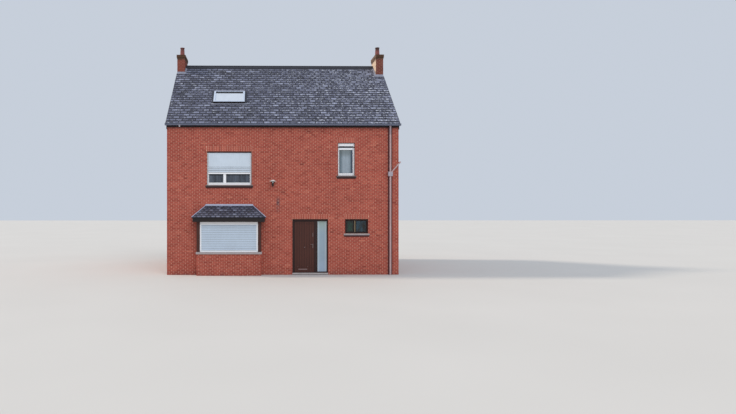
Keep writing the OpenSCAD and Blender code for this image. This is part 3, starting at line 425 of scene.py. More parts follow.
def sillStone(mat):
    # upstairs dark, with a painted highlight at the upper edge; below pale, with painted shade at the lower
    # edge
    foot, top = stone["litEdge"]
    gable = abs(mat.x) > stone["gableX"]
    litEdge = (mat.z > foot + stone["gableUp"] * gable) * (mat.z < top)
    litEdge = litEdge + mat.z.between(*stone["narrowLitEdge"])
    lower = mat.mix("paleSill", "damp", mat.z.between(*stone["drip"]) * 0.8)
    return mat.mix(lower, mat.mix("bluestone", "washedStone", litEdge), mat.z > stone["upstairs"])


def stepStone(mat):
    # pale but for painted shade along its foot
    return mat.mix("paleStone", "damp", 0.85 * (1 - mat.ease(mat.z, *stone["ground"])))


def potFinish():
    # fired clay, sooty towards the rim, more so on the right-hand pot
    mat = Finish("pot_clay", rough=0.8, specular=0.25)
    clay = mat.shaded("terracotta", (14.0, 5.0, 0.65), 0.22)
    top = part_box("chimney_pots")[1][2]
    soot = mat.ease(mat.z + 0.09 * mat.noise(9.0, 4.0, 0.6), top - 0.2, top - 0.02)
    clay = mat.mix(clay, "soot", soot * (0.5 + 0.35 * (mat.x > 0.0)))
    return mat.done(clay, (mat.noise(50.0, 4.0, 0.6), 0.4, 0.003))


metal = {"windowX": -2.395, "windowHalf": 1.2, "apronTop": 7.612, "boxZ": (4.25, 4.437),
         "greyPipe": 6.05, "spoutX": -4.45, "spoutHalf": 0.05, "spoutTop": 6.434, "plateTop": 0.3,
         "hoodDeep": 0.045, "footDeep": 0.214}


def metalFinish(name, baseOf, metallic, rough, streaks):
    # weathered sheet metal with soft upright run-off streaks
    mat = Finish(name, metallic=metallic, specular=0.5)
    run = mat.noise(6.0, 5.0, 0.65, (3.0, 3.0, 0.35))
    bloom = mat.noise(28.0, 4.0, 0.7)
    base = baseOf(mat) if callable(baseOf) else baseOf
    tone = mat.shaded(mat.shaded(base, run, streaks), bloom, 0.5 * streaks)
    return mat.done(tone, (run, 0.2, 0.003), rough - 0.1 + 0.25 * bloom)


def sheetLead(mat):
    # dark round the roof window, but for the apron under its foot
    near = abs(mat.x - metal["windowX"]) < metal["windowHalf"]
    return mat.mix("lead", "windowLead", near * (mat.z > metal["apronTop"]))


def pipeMetal(mat):
    # the top length and the junction box are greyer
    box = mat.z.between(*metal["boxZ"]) * (mat.y < 0.0)
    return mat.mix(mat.mix("pipeZinc", "pipeUpper", mat.z > metal["greyPipe"]), "pipeBox", box)


def gutterMetal(mat):
    # the short overflow spout under the left end is pale
    near = abs(mat.x - metal["spoutX"]) < metal["spoutHalf"]
    return mat.mix("gutterZinc", "spout", (mat.z < metal["spoutTop"]) * near)


def doorMetal(mat):
    # the letter plate is brighter than the lever and the locks
    return mat.mix("handle", "flap", mat.z < metal["plateTop"])


def roofFrameFinish():
    # white side bars, a grey hood and a foot painted dark as shade, told apart by height
    mat = Finish("roof_window_bars", rough=0.4, metallic=0.2)
    low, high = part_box("roof_window_frame")
    tone = mat.mix("roofBar", "lead", mat.z > high[2] - metal["hoodDeep"])
    tone = mat.shaded(tone, (20.0, 4.0, 0.6), 0.08)
    # the foot's dark is painted shade on the frame's lower face
    return mat.done(mat.mix(tone, "iron", mat.z < low[2] + metal["footDeep"]))


# Finishes of glass and shutters


panes = {"shaded": 0.09, "blueX": 3.12, "curtain": (0.1, 0.24), "dimHead": (0.4, 0.1), "dimRight": 0.085,
         "band": 0.085, "bandSides": (0.35, 0.5), "footTone": (0.2, 1.0), "headTone": (1.7, 2.35)}
airSlots = {"joint": (0.1, 0.22), "tall": 0.27, "step": 0.05, "wide": 0.85}


def glassFinish(name, base, rough, alpha, streaky=0.12, metallic=0.0, shadeAt=9.0):
    # soft upright clouds of reflection, and a shutter's shade in the last bit under shadeAt
    mat = Finish(name, alpha=alpha, metallic=metallic, bending=1.52)
    clouds = mat.noise(2.2, 4.0, 0.65, (3.0, 3.0, 0.6))
    shadow = mat.ease(mat.z, shadeAt - panes["shaded"], shadeAt)
    tone = mat.mix(mat.shaded(base, clouds, streaky), "gasket", shadow * 0.8)
    return mat.done(tone, rough=rough + 0.06 * mat.noise(12.0, 3.0, 0.6))


def figure(mat, scale):
    # height of the pebbled surface of obscured glass
    sockets = {"Vector": mat.place, "Scale": scale}
    return mat.add("TexVoronoi", {"feature": "SMOOTH_F1"}, sockets)


def lowGlassFinish():
    # a dark pane with green and blue patches of painted reflection where a garden shows in it
    mat = Finish("low_glass", alpha=0.93, bending=1.52)
    patches = mat.noise(5.5, 3.0, 0.6, (1.0, 1.0, 0.45))
    garden = mat.mix("greenPane", "bluePane", mat.x > panes["blueX"])
    tone = mat.mix("dimRoom", garden, mat.ease(patches, 0.4, 0.62) * 0.9)
    return mat.done(tone, rough=0.05 + 0.06 * patches)


def narrowGlassFinish():
    # a pale net curtain behind the middle, with painted shade at the head and the right edge
    mat = Finish("narrow_window_glass", rough=0.18, bending=1.52, alpha=0.97)
    low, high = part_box("narrow_window_glass")
    curtain = 1 - mat.ease(abs(mat.x - 0.5 * (low[0] + high[0])), *panes["curtain"])
    tone = mat.mix("netEdge", "net", curtain)
    foot, top = (high[2] - below for below in panes["dimHead"])
    tone = mat.mix(tone, "netHead", 0.6 * mat.ease(mat.z, foot, top))
    tone = mat.mix(tone, "netRight", mat.x > high[0] - panes["dimRight"])
    folds = mat.noise(6.0, 3.0, 0.6, (3.0, 1.0, 0.3))
    return mat.done(mat.shaded(tone, folds, 0.1), (figure(mat, 70.0), 0.5, 0.0015))


def sideLightFinish():
    # figured pane, paler in an upright band near each edge and greener to the top
    mat = Finish("side_light_glass", rough=0.2, bending=1.52, alpha=0.96)
    low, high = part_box("side_light_glass")
    band = panes["band"]
    sides = [share * band for share in panes["bandSides"]]
    edges = [1 - mat.ease(abs(mat.x - middle), *sides)
             for middle in (low[0] + band / 2, high[0] - band / 2)]
    body = mat.mix("figuredFoot", "figured", mat.ease(mat.z, *panes["footTone"]))
    body = mat.mix(body, "figuredHead", mat.ease(mat.z, *panes["headTone"]))
    tone = mat.mix(body, "figuredEdge", (edges[0] + edges[1]) * 0.6)
    tone = mat.shaded(tone, (1.1, 3.0, 0.6), 0.1)
    return mat.done(tone, (figure(mat, 90.0), 0.5, 0.002))


def shutterFinish(name, base, pitch, start, slotted):
    # white laths with a groove at each joint, and dark air slots at every second one up to slotted
    mat = Finish(name, rough=0.42, specular=0.45)
    joint = 1 - mat.ease(((mat.z - start) / pitch) % 1.0, *airSlots["joint"])
    slot = ((mat.z - start) / (2 * pitch)) % 1.0 < airSlots["tall"]
    slot = slot * ((mat.x / airSlots["step"]) % 1.0 < airSlots["wide"]) * (mat.z < slotted)
    tone = mat.shaded(base, (1.4, 3.0, 0.55), 0.05)
    tone = mat.shaded(tone, (22.0, 4.0, 0.65, (1.0, 1.0, 0.15)), 0.05)
    tone = mat.mix(tone, "lathJoint", joint * 0.25)
    tone = mat.mix(tone, "slot", slot * (0.95 if slotted < 9.0 else 0.5))
    return mat.done(tone, (mat.noise(90.0, 3.0, 0.6), 0.1, 0.001))


brick = brickFinish("red_brick", False)
stackBrick = brickFinish("stack_brick", True)
slate = slateFinish("blue_slate", 0.0, False)
baySlate = slateFinish("bay_slate", 0.25, True)
stainedBoard = timberFinish("stained_board_and_shade", "stainedBoard", False)
timber = timberFinish("brown_timber", "timber", True)
doorTimber = timberFinish("door_timber", "timber", True, (0.5085, 0.107))
darkTimber = timberFinish("dark_timber", "darkTimber", True)
handleMetal = metalFinish("door_metal", doorMetal, 0.4, 0.4, 0.06)
white = plainFinish("white_frame", "white", 0.35, 40.0, 0.05, 0.0006)
bulbGlass = plainFinish("lamp_bulb", "bulb", 0.25, 30.0, 0.03, 0.0002)
coverStrip = plainFinish("cover_strip", "coverStrip", 0.5, 60.0, 0.12, 0.0005)
sealant = plainFinish("sealant", "sealant", 0.6, 60.0, 0.12, 0.0005)
gasket = plainFinish("window_gasket", "gasket", 0.6, 80.0, 0.15, 0.0005)
slotShadeStrip = plainFinish("slot_shade_strip", "brush", 0.7, 80.0, 0.15, 0.0005)
hookWire = plainFinish("slate_hooks", "hook", 0.35, 90.0, 0.1, 0.0003, 0.6)
roofBars = roofFrameFinish()

# The frame's own nodes, by their finish

dressed = (
    (mortarFinish("mortar", False), "front_wall_left", "front_wall_over_door", "front_wall_right",
     "back_wall", "left_gable_wall", "right_gable_wall", "bay_apron"),
    (mortarFinish("stack_mortar", True), "chimney_stacks"),
    (potFinish(), "chimney_pots"),
    (plainFinish("floor_screed", "screed", 0.7, 18.0, 0.12, 0.002),
     "ground_floor", "first_floor", "attic_floor"),
    (underSlateFinish(), "front_roof_slope", "back_roof_slope", "bay_roof"),
    (metalFinish("ridge_capping", "ridge", 0.2, 0.55, 0.18), "ridge_capping"),
    (metalFinish("gutter_zinc", gutterMetal, 0.35, 0.5, 0.14), "gutters"),
    (metalFinish("pipe_zinc", pipeMetal, 0.25, 0.5, 0.12), "downpipes"),
    (metalFinish("lead_sheet", sheetLead, 0.3, 0.55, 0.16), "roof_flashings"),
    (metalFinish("bay_zinc", "bayZinc", 0.3, 0.45, 0.12), "bay_flashing"),
    # the boards are near-black; at the eaves this also stands for the gutter's painted shadow
    (stainedBoard, "verge_boards", "eaves_boards"),
    (roofBars, "roof_window_frame"),
    (white, "white_window_frames", "hidden_side_frames", "bay_window_frame", "wide_window_shutter",
     "narrow_window_shutter", "bay_shutter"),
    (glassFinish("wide_window_glass", "widePane", 0.03, 0.88, 0.7, 0.0, 4.345), "wide_window_glass"),
    (glassFinish("clear_glass", "clearPane", 0.03, 0.88, 0.55), "hidden_side_glass"),
    # the roof pane's pale colour is a painted reflection of the sky
    (glassFinish("roof_glass", "roofPane", 0.08, 1.0, 0.06, 0.2), "roof_window_glass"),
    (lowGlassFinish(), "low_window_glass"),
    (narrowGlassFinish(), "narrow_window_glass"),
    (sideLightFinish(), "side_light_glass"),
    (darkTimber, "low_window_frame", "door_frame"),
    (timber, "bay_timber", "door_leaf"),
    (stoneFinish("bluestone", 0.8, sillStone), "window_sills"),
    (stoneFinish("threshold_stone", 0.3, stepStone), "door_threshold"),
    (plainFinish("dark_iron", "iron", 0.5, 60.0, 0.2, 0.001, 0.3), "lamp_bracket"),
    (plainFinish("lamp_enamel", "enamel", 0.3, 30.0, 0.07, 0.0004), "lamp_shade"),
    (handleMetal, "door_furniture"),
)
for mat, *names in dressed:
    for name in names:
        for slot in nodes[name].material_slots:
            slot.material = mat
print("nodes dressed:", sum(len(row) - 1 for row in dressed), "of", len(nodes))
print("finishes:", len(bpy.data.materials))

# Brickwork in stretcher bond on the walls, the reveals, the apron and the stacks

house = {"halfWidth": 5.0, "halfDepth": 4.05, "eaveY": 4.15, "eaveZ": 6.53, "pitch": math.radians(39.5),
         "roofThick": 0.18, "vergeX": 5.06}
brickwork = {"stretcher": 0.2, "course": 0.075, "joint": 0.01, "proud": 0.004, "soldier": 0.215,
             "soldierCourse": 0.225, "arris": 0.0028, "sunk": 0.002, "slip": 0.0011, "uneven": 0.001,
             "smallest": 0.014, "thinnest": 0.001, "slack": 0.01, "tones": (2.6, 2.4),
             "underRoof": 0.004, "underEaves": 0.012}
openings = {  # wall, middle, foot, width and height
    "wide_window": (0, -2.32, 3.875, 1.93, 1.45), "narrow_window": (0, 2.735, 4.285, 0.74, 1.415),
    "low_window": (0, 3.182, 1.78, 1.005, 0.62), "doorway": (0, 1.175, 0.0, 1.55, 2.4),
}
hidden = [(2, middle, foot, 1.93, 1.45) for foot in (3.875, 0.95) for middle in (-2.32, 2.32)]
for side, middle in ((1, 1.9), (3, -1.9)):
    hidden += [(side, middle, foot, 0.74, 1.415) for foot in (3.91, 0.985)]
everyOpening = [*openings.values(), *hidden]
reveal = {"depth": 0.1, "end": 0.006, "foot": 0.004, "sunk": 0.001}
sillSize = {"height": 0.09, "past": 0.055}
bay = {"left": -3.695, "right": -0.945, "front": 4.4, "apronTop": 0.918, "roofFoot": 2.455}
stack = {"middleX": 4.855, "width": 0.36, "length": 1.08, "top": 10.391, "crown": 0.2,
         "corbel": 0.065, "out": 0.03, "forward": 0.18, "leftFoot": 9.252, "rightFoot": 9.104}
course, joint, past, smallest, uneven = (
    brickwork[key] for key in ("course", "joint", "proud", "smallest", "uneven"))


def wallFrame(side, reach=None):
    # (origin, along, up, outward) of an upright face, 0 front, 1 right, 2 back or 3 left, as far out
    # as the wall or reach
    turn = math.pi / 2 * side
    along = np.array([math.cos(turn), math.sin(turn), 0.0]).round(9)
    outward = np.array([math.sin(turn), -math.cos(turn), 0.0]).round(9)
    if reach is None:
        reach = house["halfWidth"] if side % 2 else house["halfDepth"]
    return outward * reach, along, np.array([0.0, 0.0, 1.0]), outward


def underRoof(across):
    # height of the roof's underside, which falls at its pitch away from the ridge
    top = house["eaveZ"] + math.tan(house["pitch"]) * (house["eaveY"] - np.abs(across))
    return top - house["roofThick"] / math.cos(house["pitch"])


def gableLine(across):
    return underRoof(across) - brickwork["underRoof"]


def bond(start, width, low, high, wholeFirst, luck):
    # rows of (left, right, bottom, top, tone, proud): courses of half-brick steps, each shifted by
    # one step from the course below, with cut ends
    slip, slack = brickwork["slip"], brickwork["slack"]
    steps = round((width + joint) / brickwork["stretcher"] * 2)
    step = (width + joint) / steps
    first = math.floor(low / course + slack)
    last = math.ceil(high / course - slack)
    rows = []
    for parity in (0, 1):
        shift = (parity + (0 if wholeFirst else 1)) % 2
        edges = np.unique(np.concatenate([[0], np.arange(shift, steps, 2), [steps]]))
        these = np.arange(first + (first + parity) % 2, last, 2)
        left = start + np.tile(edges[:-1] * step, len(these))
        right = start + np.tile(edges[1:] * step - joint, len(these))
        bottom = np.repeat(these * course, len(edges) - 1)
        rows.append(np.stack([left, right, bottom + joint, bottom + course], 1))
    laid = np.concatenate(rows)
    laid += luck.uniform(-slip, slip, (len(laid), 4))
    laid[:, 2:4] = np.clip(laid[:, 2:4], low, high)
    laid = np.column_stack([laid, *toneAndProud(len(laid), luck)])
    return laid[laid[:, 3] - laid[:, 2] > smallest]


def toneAndProud(count, luck):
    tone = np.clip(luck.beta(*brickwork["tones"], count), 0.0, 1.0)
    return tone, past + luck.uniform(-uneven, uneven, count)


def without(laid, hole, least):
    # each rectangle less the hole's: what is left of it, right of it, under it and over it
    left, right, low, high = hole
    hit = (laid[:, 0] < right) & (laid[:, 1] > left) & (laid[:, 2] < high) & (laid[:, 3] > low)
    cut = laid[hit]
    sides = [cut.copy() for _ in range(4)]
    sides[0][:, 1] = np.minimum(cut[:, 1], left)
    sides[1][:, 0] = np.maximum(cut[:, 0], right)
    for rest in sides[2:]:
        rest[:, 0] = np.maximum(cut[:, 0], left)
        rest[:, 1] = np.minimum(cut[:, 1], right)
    sides[2][:, 3] = np.minimum(cut[:, 3], low)
    sides[3][:, 2] = np.maximum(cut[:, 2], high)
    rests = np.concatenate(sides)
    big = (rests[:, 1] - rests[:, 0] > least) & (rests[:, 3] - rests[:, 2] > least)
    return np.concatenate([laid[~hit], rests[big]])


def setOut(side, upward, placed):
    # corners on a face from their distances along it and up it
    origin, along, up = placed[:3]
    return origin + side[..., None] * along + upward[..., None] * up


def bricksOn(laid, placed, topLine=None):
    # the rectangles thickened into bricks, cut at the height that topLine gives along the face
    left, right, low, high, tone, proud = laid.T
    highs = [high, high]
    if topLine:
        highs = [np.minimum(high, topLine(right)), np.minimum(high, topLine(left))]
        keep = (highs[0] + highs[1]) / 2 > low + smallest
        left, right, low, tone, proud = (part[keep] for part in (left, right, low, tone, proud))
        highs = [np.maximum(part[keep], low + brickwork["thinnest"]) for part in highs]
    corners = setOut(np.stack([left, right, right, left], 1), np.stack([low, low, *highs], 1), placed)
    outward, sunk = placed[3], brickwork["sunk"]
    shape = blocks(corners - sunk * outward, outward, proud + sunk, brickwork["arris"])
    return *shape, np.repeat(tone, blockPoints)


def laidPiece(name, parts, mat):
    # bricks or slates as one piece, whose points carry the tone and a slate's tail and sides
    columns = list(zip(*parts))[2:]
    marks = {mark: np.concatenate(values) for mark, values in zip(("tone", "tail", "across"), columns)}
    piece(name, joined(parts), mat, marks=marks)
    print("laid:", name, sum(len(part[1]) for part in parts) // blockFaces)


def openingsOn(side):
    return [size for wall, *size in everyOpening if wall == side]


def holesOn(side):
    # what a wall's bond leaves free: openings, the soldiers over them, sills, the bay or a stack
    holes = []
    for middle, low, width, height in openingsOn(side):
        head = low + height
        for grown, foot, top in ((0.0, low, head), (joint, head, head + brickwork["soldierCourse"]),
                                 (sillSize["past"], low - sillSize["height"], low)):
            half = width / 2 + grown
            holes.append((middle - half, middle + half, foot, top))
    if side == 0:
        holes.append((bay["left"], bay["right"], 0.0, bay["roofFoot"]))
    if side % 2:
        middle, foot = (-stack["forward"], stack["rightFoot"]) if side == 1 else (0.0, stack["leftFoot"])
        holes.append((middle - stack["length"] / 2, middle + stack["length"] / 2, foot, stack["top"]))
    return holes


def soldiersOn(side, luck):
    # upright bricks side by side over each opening, as rows for bricksOn
    rows = []
    for middle, low, width, height in openingsOn(side):
        count = round((width + joint) / course)
        step = (width + joint) / count
        left = middle - width / 2 + np.arange(count) * step
        head = np.full(count, low + height + brickwork["soldierCourse"])
        sides = [left, left + step - joint, head - brickwork["soldier"], head]
        rows.append(np.stack([*sides, *toneAndProud(count, luck)], 1))
    return np.concatenate(rows)


for name, side, seed in (("front_bricks", 0, 3), ("back_bricks", 2, 5),
                         ("right_gable_bricks", 1, 7), ("left_gable_bricks", 3, 11)):
    luck = default_rng(seed)
    half = house["halfDepth"] if side % 2 else house["halfWidth"] + past
    top = gableLine(0.0) if side % 2 else underRoof(house["halfDepth"]) - brickwork["underEaves"]
    laid = bond(-half, 2 * half, 0.0, top, side in (0, 3), luck)
    for hole in holesOn(side):
        laid = without(laid, hole, smallest)
    laid = np.concatenate([laid, soldiersOn(side, luck)])
    laidPiece(name, [bricksOn(laid, wallFrame(side), gableLine if side % 2 else None)], brick)


def revealFaces(luck):
    # bricks on both jambs and the underside of each opening, from the wall's face to the frame
    faces = []
    for side, middle, low, width, height in everyOpening:
        origin, along, up, outward = wallFrame(side)
        depth = reveal["depth"] - joint
        left = origin + (middle - width / 2) * along
        right = origin + (middle + width / 2) * along - depth * outward
        head = left + (low + height) * up - depth * outward
        jamb = bond(0.0, depth, low, low + height - reveal["end"], True, luck)
        under = bond(reveal["end"], width - 2 * reveal["end"], 0.0, course, True, luck)
        under[:, 2:4] = reveal["foot"], depth
        jamb[:, 5] -= reveal["sunk"]
        under[:, 5] -= reveal["sunk"]
        faces += [bricksOn(jamb, (left, -outward, up, along)), bricksOn(jamb, (right, outward, up, -along)),
                  bricksOn(under, (head, along, outward, -up))]
    return faces


laidPiece("reveal_bricks", revealFaces(default_rng(13)), brick)


def boxFaces(middle, width, length, low, high, luck):
    # bricks on a shaft's four faces, by its middle, its width along X and its length along Y
    faces = []
    for side in range(4):
        reach, span = (width / 2, length) if side % 2 else (length / 2, width + 2 * past)
        origin, *directions = wallFrame(side, reach)
        laid = bond(-span / 2, span, low, high, side % 2 == 0, luck)
        faces.append(bricksOn(laid, (np.array(middle) + origin, *directions)))
    return faces


crownFoot = stack["top"] - stack["crown"]
for name, x, y, foot, seed in (
        ("right_stack_bricks", stack["middleX"], -stack["forward"], stack["rightFoot"], 17),
        ("left_stack_bricks", -stack["middleX"], 0.0, stack["leftFoot"], 19)):
    luck = default_rng(seed)
    heights = [foot, crownFoot, crownFoot + stack["corbel"], stack["top"]]
    faces = []
    for step, (low, high) in enumerate(zip(heights, heights[1:])):
        size = stack["width"] + step * stack["out"], stack["length"] + step * stack["out"]
        faces += boxFaces((x, y, 0.0), *size, low, high, luck)
    laidPiece(name, faces, stackBrick)

apronMiddle = ((bay["left"] + bay["right"]) / 2, -(bay["front"] + house["halfDepth"]) / 2, 0.0)
apronSize = (bay["right"] - bay["left"], bay["front"] - house["halfDepth"])
apron = boxFaces(apronMiddle, *apronSize, 0.0, bay["apronTop"], default_rng(23))
laidPiece("apron_bricks", [apron[0], apron[1], apron[3]], brick)

# Slates, each a thin tilted block whose tail lies on the course below

slating = {"exposure": 0.2069, "width": 0.281, "gap": 0.004, "lap": 0.03, "lift": 0.0012,
           "thick": 0.0062, "arris": 0.0012, "slip": 0.0022, "uneven": (-0.001, 0.0012), "rest": 0.0008,
           "tones": (0.5, 0.19), "smallest": 0.02, "narrowest": 0.03, "hooked": 0.6, "hookHalf": 0.004,
           "hookRise": 0.026, "hookOver": 0.003, "hookArris": 0.0008}
baySlating = {**slating, "exposure": 0.131, "width": 0.2, "thick": 0.005}


def slopeFrame(side, foot, run, rise):
    # a wall's frame leant back from the point foot: up lies rise over run, and out is square to it
    along, up, outward = wallFrame(side)[1:]
    long = math.hypot(run, rise)
    return np.array(foot), along, (rise * up - run * outward) / long, (run * up + rise * outward) / long


def slatesOn(kind, placed, length, left, right, holes, luck):
    # courses of one exposure and a lap, shifted by half a slate from one to the next, less the
    # holes; left and right are sides, each its place at the foot and its growth by the metre up
    leftAt, rightAt = (lambda height, line=line: line[0] + line[1] * height for line in (left, right))
    courses = np.arange(math.ceil(length / kind["exposure"]))
    across = np.arange(-1, math.ceil((right[0] - left[0]) / kind["width"]) + 1)
    course, column = (part.ravel() for part in np.meshgrid(courses, across, indexing="ij"))
    low = left[0] + (column + 0.5 * (course % 2)) * kind["width"]
    tail = course * kind["exposure"]
    rows = [low, low + kind["width"] - kind["gap"], tail, tail + kind["exposure"] + kind["lap"]]
    rows = np.stack(rows, 1)
    rows[:, :2] += luck.uniform(-kind["slip"], kind["slip"], (len(rows), 1))
    rows[:, 2] += luck.uniform(-kind["slip"], kind["slip"], len(rows))
    rows[:, 3] = np.minimum(rows[:, 3], length)
    tone = np.clip(luck.normal(*kind["tones"], len(rows)), 0.0, 1.0)
    rows = np.column_stack([rows, tone, tail, kind["thick"] + luck.uniform(*kind["uneven"], len(rows))])
    rows[:, 0] = np.maximum(rows[:, 0], leftAt(rows[:, 2]))
    rows[:, 1] = np.minimum(rows[:, 1], rightAt(rows[:, 2]))
    for hole in holes:
        rows = without(rows, hole, kind["smallest"])
    wide, long = rows[:, 1] - rows[:, 0], rows[:, 3] - rows[:, 2]
    rows = rows[(wide > kind["narrowest"]) & (long > kind["smallest"])]
    lows, highs, foot, head, tone, tail, thick = rows.T
    headLow = np.clip(lows, leftAt(head), rightAt(head))
    headHigh = np.clip(highs, leftAt(head), rightAt(head))
    upward = np.stack([foot, foot, head, head], 1)
    fall = (kind["thick"] + kind["rest"]) / kind["exposure"]
    lift = kind["lift"] - (upward - tail[:, None]) * fall
    corners = setOut(np.stack([lows, highs, headHigh, headLow], 1), upward, placed)
    points, faces = blocks(corners + lift[..., None] * placed[3], placed[3], thick, kind["arris"])
    atTail = np.tile([1.0, 1.0, 0.0, 0.0], 3 * len(rows))
    across = np.tile([-1.0, 1.0, 1.0, -1.0], 3 * len(rows))
    return points, faces, np.repeat(tone, blockPoints), atTail, across, rows


def hooksFor(rows, placed, kind):
    # a wire hook under the middle of each tail: a flat bar up the slope over the slate's edge
    whole = rows[rows[:, 1] - rows[:, 0] > kind["hooked"] * kind["width"]]
    half, rise = kind["hookHalf"], kind["hookRise"]
    side = (whole[:, :1] + whole[:, 1:2]) / 2 + np.array([[-half, half, half, -half]])
    upward = whole[:, 2:3] + np.array([[-half, -half, rise, rise]])
    corners = setOut(side, upward, placed) + kind["lift"] * placed[3]
    return blocks(corners, placed[3], kind["thick"] + kind["hookOver"], kind["hookArris"])


roofWindow = {"middle": -2.395, "up": 2.21, "width": 1.41, "height": 1.03, "lead": 0.095, "out": 0.1,
              "bar": 0.075}
slope = {"cosine": math.cos(house["pitch"]), "sine": math.sin(house["pitch"]), "ridgeLeg": 0.15,
         "stackLead": 0.075, "edgeX": house["vergeX"] - 0.004, "far": 9.0}
slopeRun = (house["eaveY"] - slope["ridgeLeg"]) / slope["cosine"]
leadInner = stack["middleX"] - stack["width"] / 2 - slope["stackLead"]
frontSlope, backSlope = (
    slopeFrame(side, (0.0, y, house["eaveZ"]), slope["cosine"], slope["sine"])
    for side, y in ((0, -house["eaveY"]), (2, house["eaveY"])))


def roofWindowGrown(margin):
    # the roof window's rectangle on its slope, with a margin all round
    middle, up = roofWindow["middle"], roofWindow["up"]
    half, tall = roofWindow["width"] / 2 + margin, roofWindow["height"] / 2 + margin
    return middle - half, middle + half, up - tall, up + tall


def stackHoles(first, second):
    # both stacks and their lead on a slope, by their faces' distances from the ridge
    firstUp, secondUp = (
        (house["eaveY"] - face - slope["stackLead"]) / slope["cosine"] for face in (first, second))
    far = slope["far"]
    return [(-far, -leadInner, firstUp, far), (leadInner, far, secondUp, far)]


half = stack["length"] / 2
frontHoles = stackHoles(half, half + stack["forward"]) + [roofWindowGrown(roofWindow["lead"])]
backHoles = stackHoles(half - stack["forward"], half)
for name, placed, holes, seed in (("front", frontSlope, frontHoles, 29), ("back", backSlope, backHoles, 31)):
    sides = (-slope["edgeX"], 0.0), (slope["edgeX"], 0.0)
    laid = slatesOn(slating, placed, slopeRun, *sides, holes, default_rng(seed))
    laidPiece(name + "_slates", [laid], slate)
    piece(name + "_slate_hooks", hooksFor(laid[5], placed, slating), hookWire)

bayRoof = {"left": -3.885, "right": -0.755, "front": -4.59, "foot": 2.495, "rise": 0.485, "out": 0.54,
           "clear": 0.014, "wall": 0.003, "top": 0.012}
left, right, front, foot, rise, out, clear, wall, top = bayRoof.values()
bayLength = math.hypot(rise, out)
lean = out / bayLength
facets = [
    ((0, (left, front, foot)), (clear, lean), (right - left - clear, -lean)),
    ((1, (right, front, foot)), (clear, lean), (out - wall, 0.0)),
    ((3, (left, -house["halfDepth"], foot)), (wall, 0.0), (out - clear, -lean)),
]
luck = default_rng(37)
bayFaces = []
bayHooks = []
for where, *sides in facets:
    placed = slopeFrame(*where, out, rise)
    laid = slatesOn(baySlating, placed, bayLength - top, *sides, [], luck)
    bayFaces.append(laid)
    bayHooks.append(hooksFor(laid[5], placed, baySlating))
laidPiece("bay_slates", bayFaces, baySlate)
piece("bay_slate_hooks", joined(bayHooks), hookWire)

# Roller shutter curtains, a wave of laths up a sheet

lathing = {"pitch": 0.0385, "bulge": 0.0035, "stand": 0.0035, "steps": 7, "lap": 0.003,
           "share": 0.94, "edge": -0.004}
curtains = {  # left, right, low, high and Y, colour, and the height up to which the slots are open
    # the wide and bay curtains' bluish whites are white with painted shade
    "wide_shutter_laths": (-3.225, -1.415, 4.415, 5.325, -3.982, "shutterWhite", 4.66),
    "narrow_shutter_laths": (2.425, 3.045, 5.605, 5.7, -3.982, "white", 0.0),
    "bay_shutter_laths": (-3.495, -1.145, 1.07, 2.17, -4.3555, "bayShutterWhite", 9.0),
}


def lathSheet(left, right, low, high, depth):
    # depth goes in and out like the root of half a sine over each lath; two columns carry it across
    count = round((high - low) / lathing["pitch"])
    turn = np.linspace(0, 1, lathing["steps"])
    rows = (np.arange(count)[:, None] + turn[None] * lathing["share"]).ravel() / count
    rows = np.concatenate([[0.0], rows, rows[-1:]])
    stand = np.tile(np.sqrt(np.sin(np.pi * turn)) * lathing["bulge"] + lathing["stand"], count)
    stand = np.concatenate([[lathing["edge"]], stand, [lathing["edge"]]])
    points = np.empty((len(rows), 2, 3))
    points[..., 0] = left - lathing["lap"], right + lathing["lap"]
    points[..., 1] = (depth - stand)[:, None]
    points[..., 2] = (low + rows * (high - low))[:, None]
    return points.reshape(-1, 3), gridFaces(len(rows), 2), (high - low) / count


for name, (*size, base, slotted) in curtains.items():
    points, faces, pitch = lathSheet(*size)
    piece(name, (points, faces), shutterFinish(name, base, pitch, size[2], slotted))
print("shutters:", len(curtains))

# Sashes, beads and gaskets round every light

sash = {
    "bar": 0.07, "rail": 0.095, "mullion": 0.76, "mullionWidth": 0.1, "boxHeight": 0.19,
    "bay": (-2.32, 1.01, 2.47, 1.28), "bayMullion": 1.235, "bayDepth": 0.075,
    "darkBar": 0.055, "darkMullion": 0.44, "darkMullionWidth": 0.09,
    "profile": [(-0.014, -0.0232), (-0.0125, -0.014), (-0.006, -0.004), (0.0, 0.0012), (0.0035, 0.0012),
                (0.0045, 0.006), (0.006, 0.0072), (0.027, 0.0072), (0.03, 0.0055), (0.031, -0.001)],
    "gasket": [(-0.024, -0.0232), (-0.023, -0.018), (-0.0135, -0.018), (-0.0125, -0.0232)],
}


def lightsOf(middle, low, width, height, bar, rail, mullions, mullion):
    # the clear rectangles between a frame's bars, rails and mullions
    left = middle - width / 2
    starts = [left + bar] + [left + m + mullion / 2 for m in mullions]
    ends = [left + m - mullion / 2 for m in mullions] + [left + width - bar]
    return [(start, end, low + rail, low + height - rail) for start, end in zip(starts, ends)]


def rimOf(placed, light, depth, profile):
    # a profile of (sideways, outwards) pairs carried round a rectangle: each corner plus the pair
    # along the mitre and outwards
    along, up, outward = placed[1:]
    left, right, low, high = light
    corners = setOut(np.array([left, right, right, left]), np.array([low, low, high, high]), placed)
    mitres = np.array([-1, 1, 1, -1])[:, None] * along + np.array([-1, -1, 1, 1])[:, None] * up
    side, out = np.array(profile).T[..., None]
    rows = (corners - depth * outward)[:, None] + side * mitres[:, None] + out * outward
    return rows.reshape(-1, 3), gridFaces(4, len(profile), True)


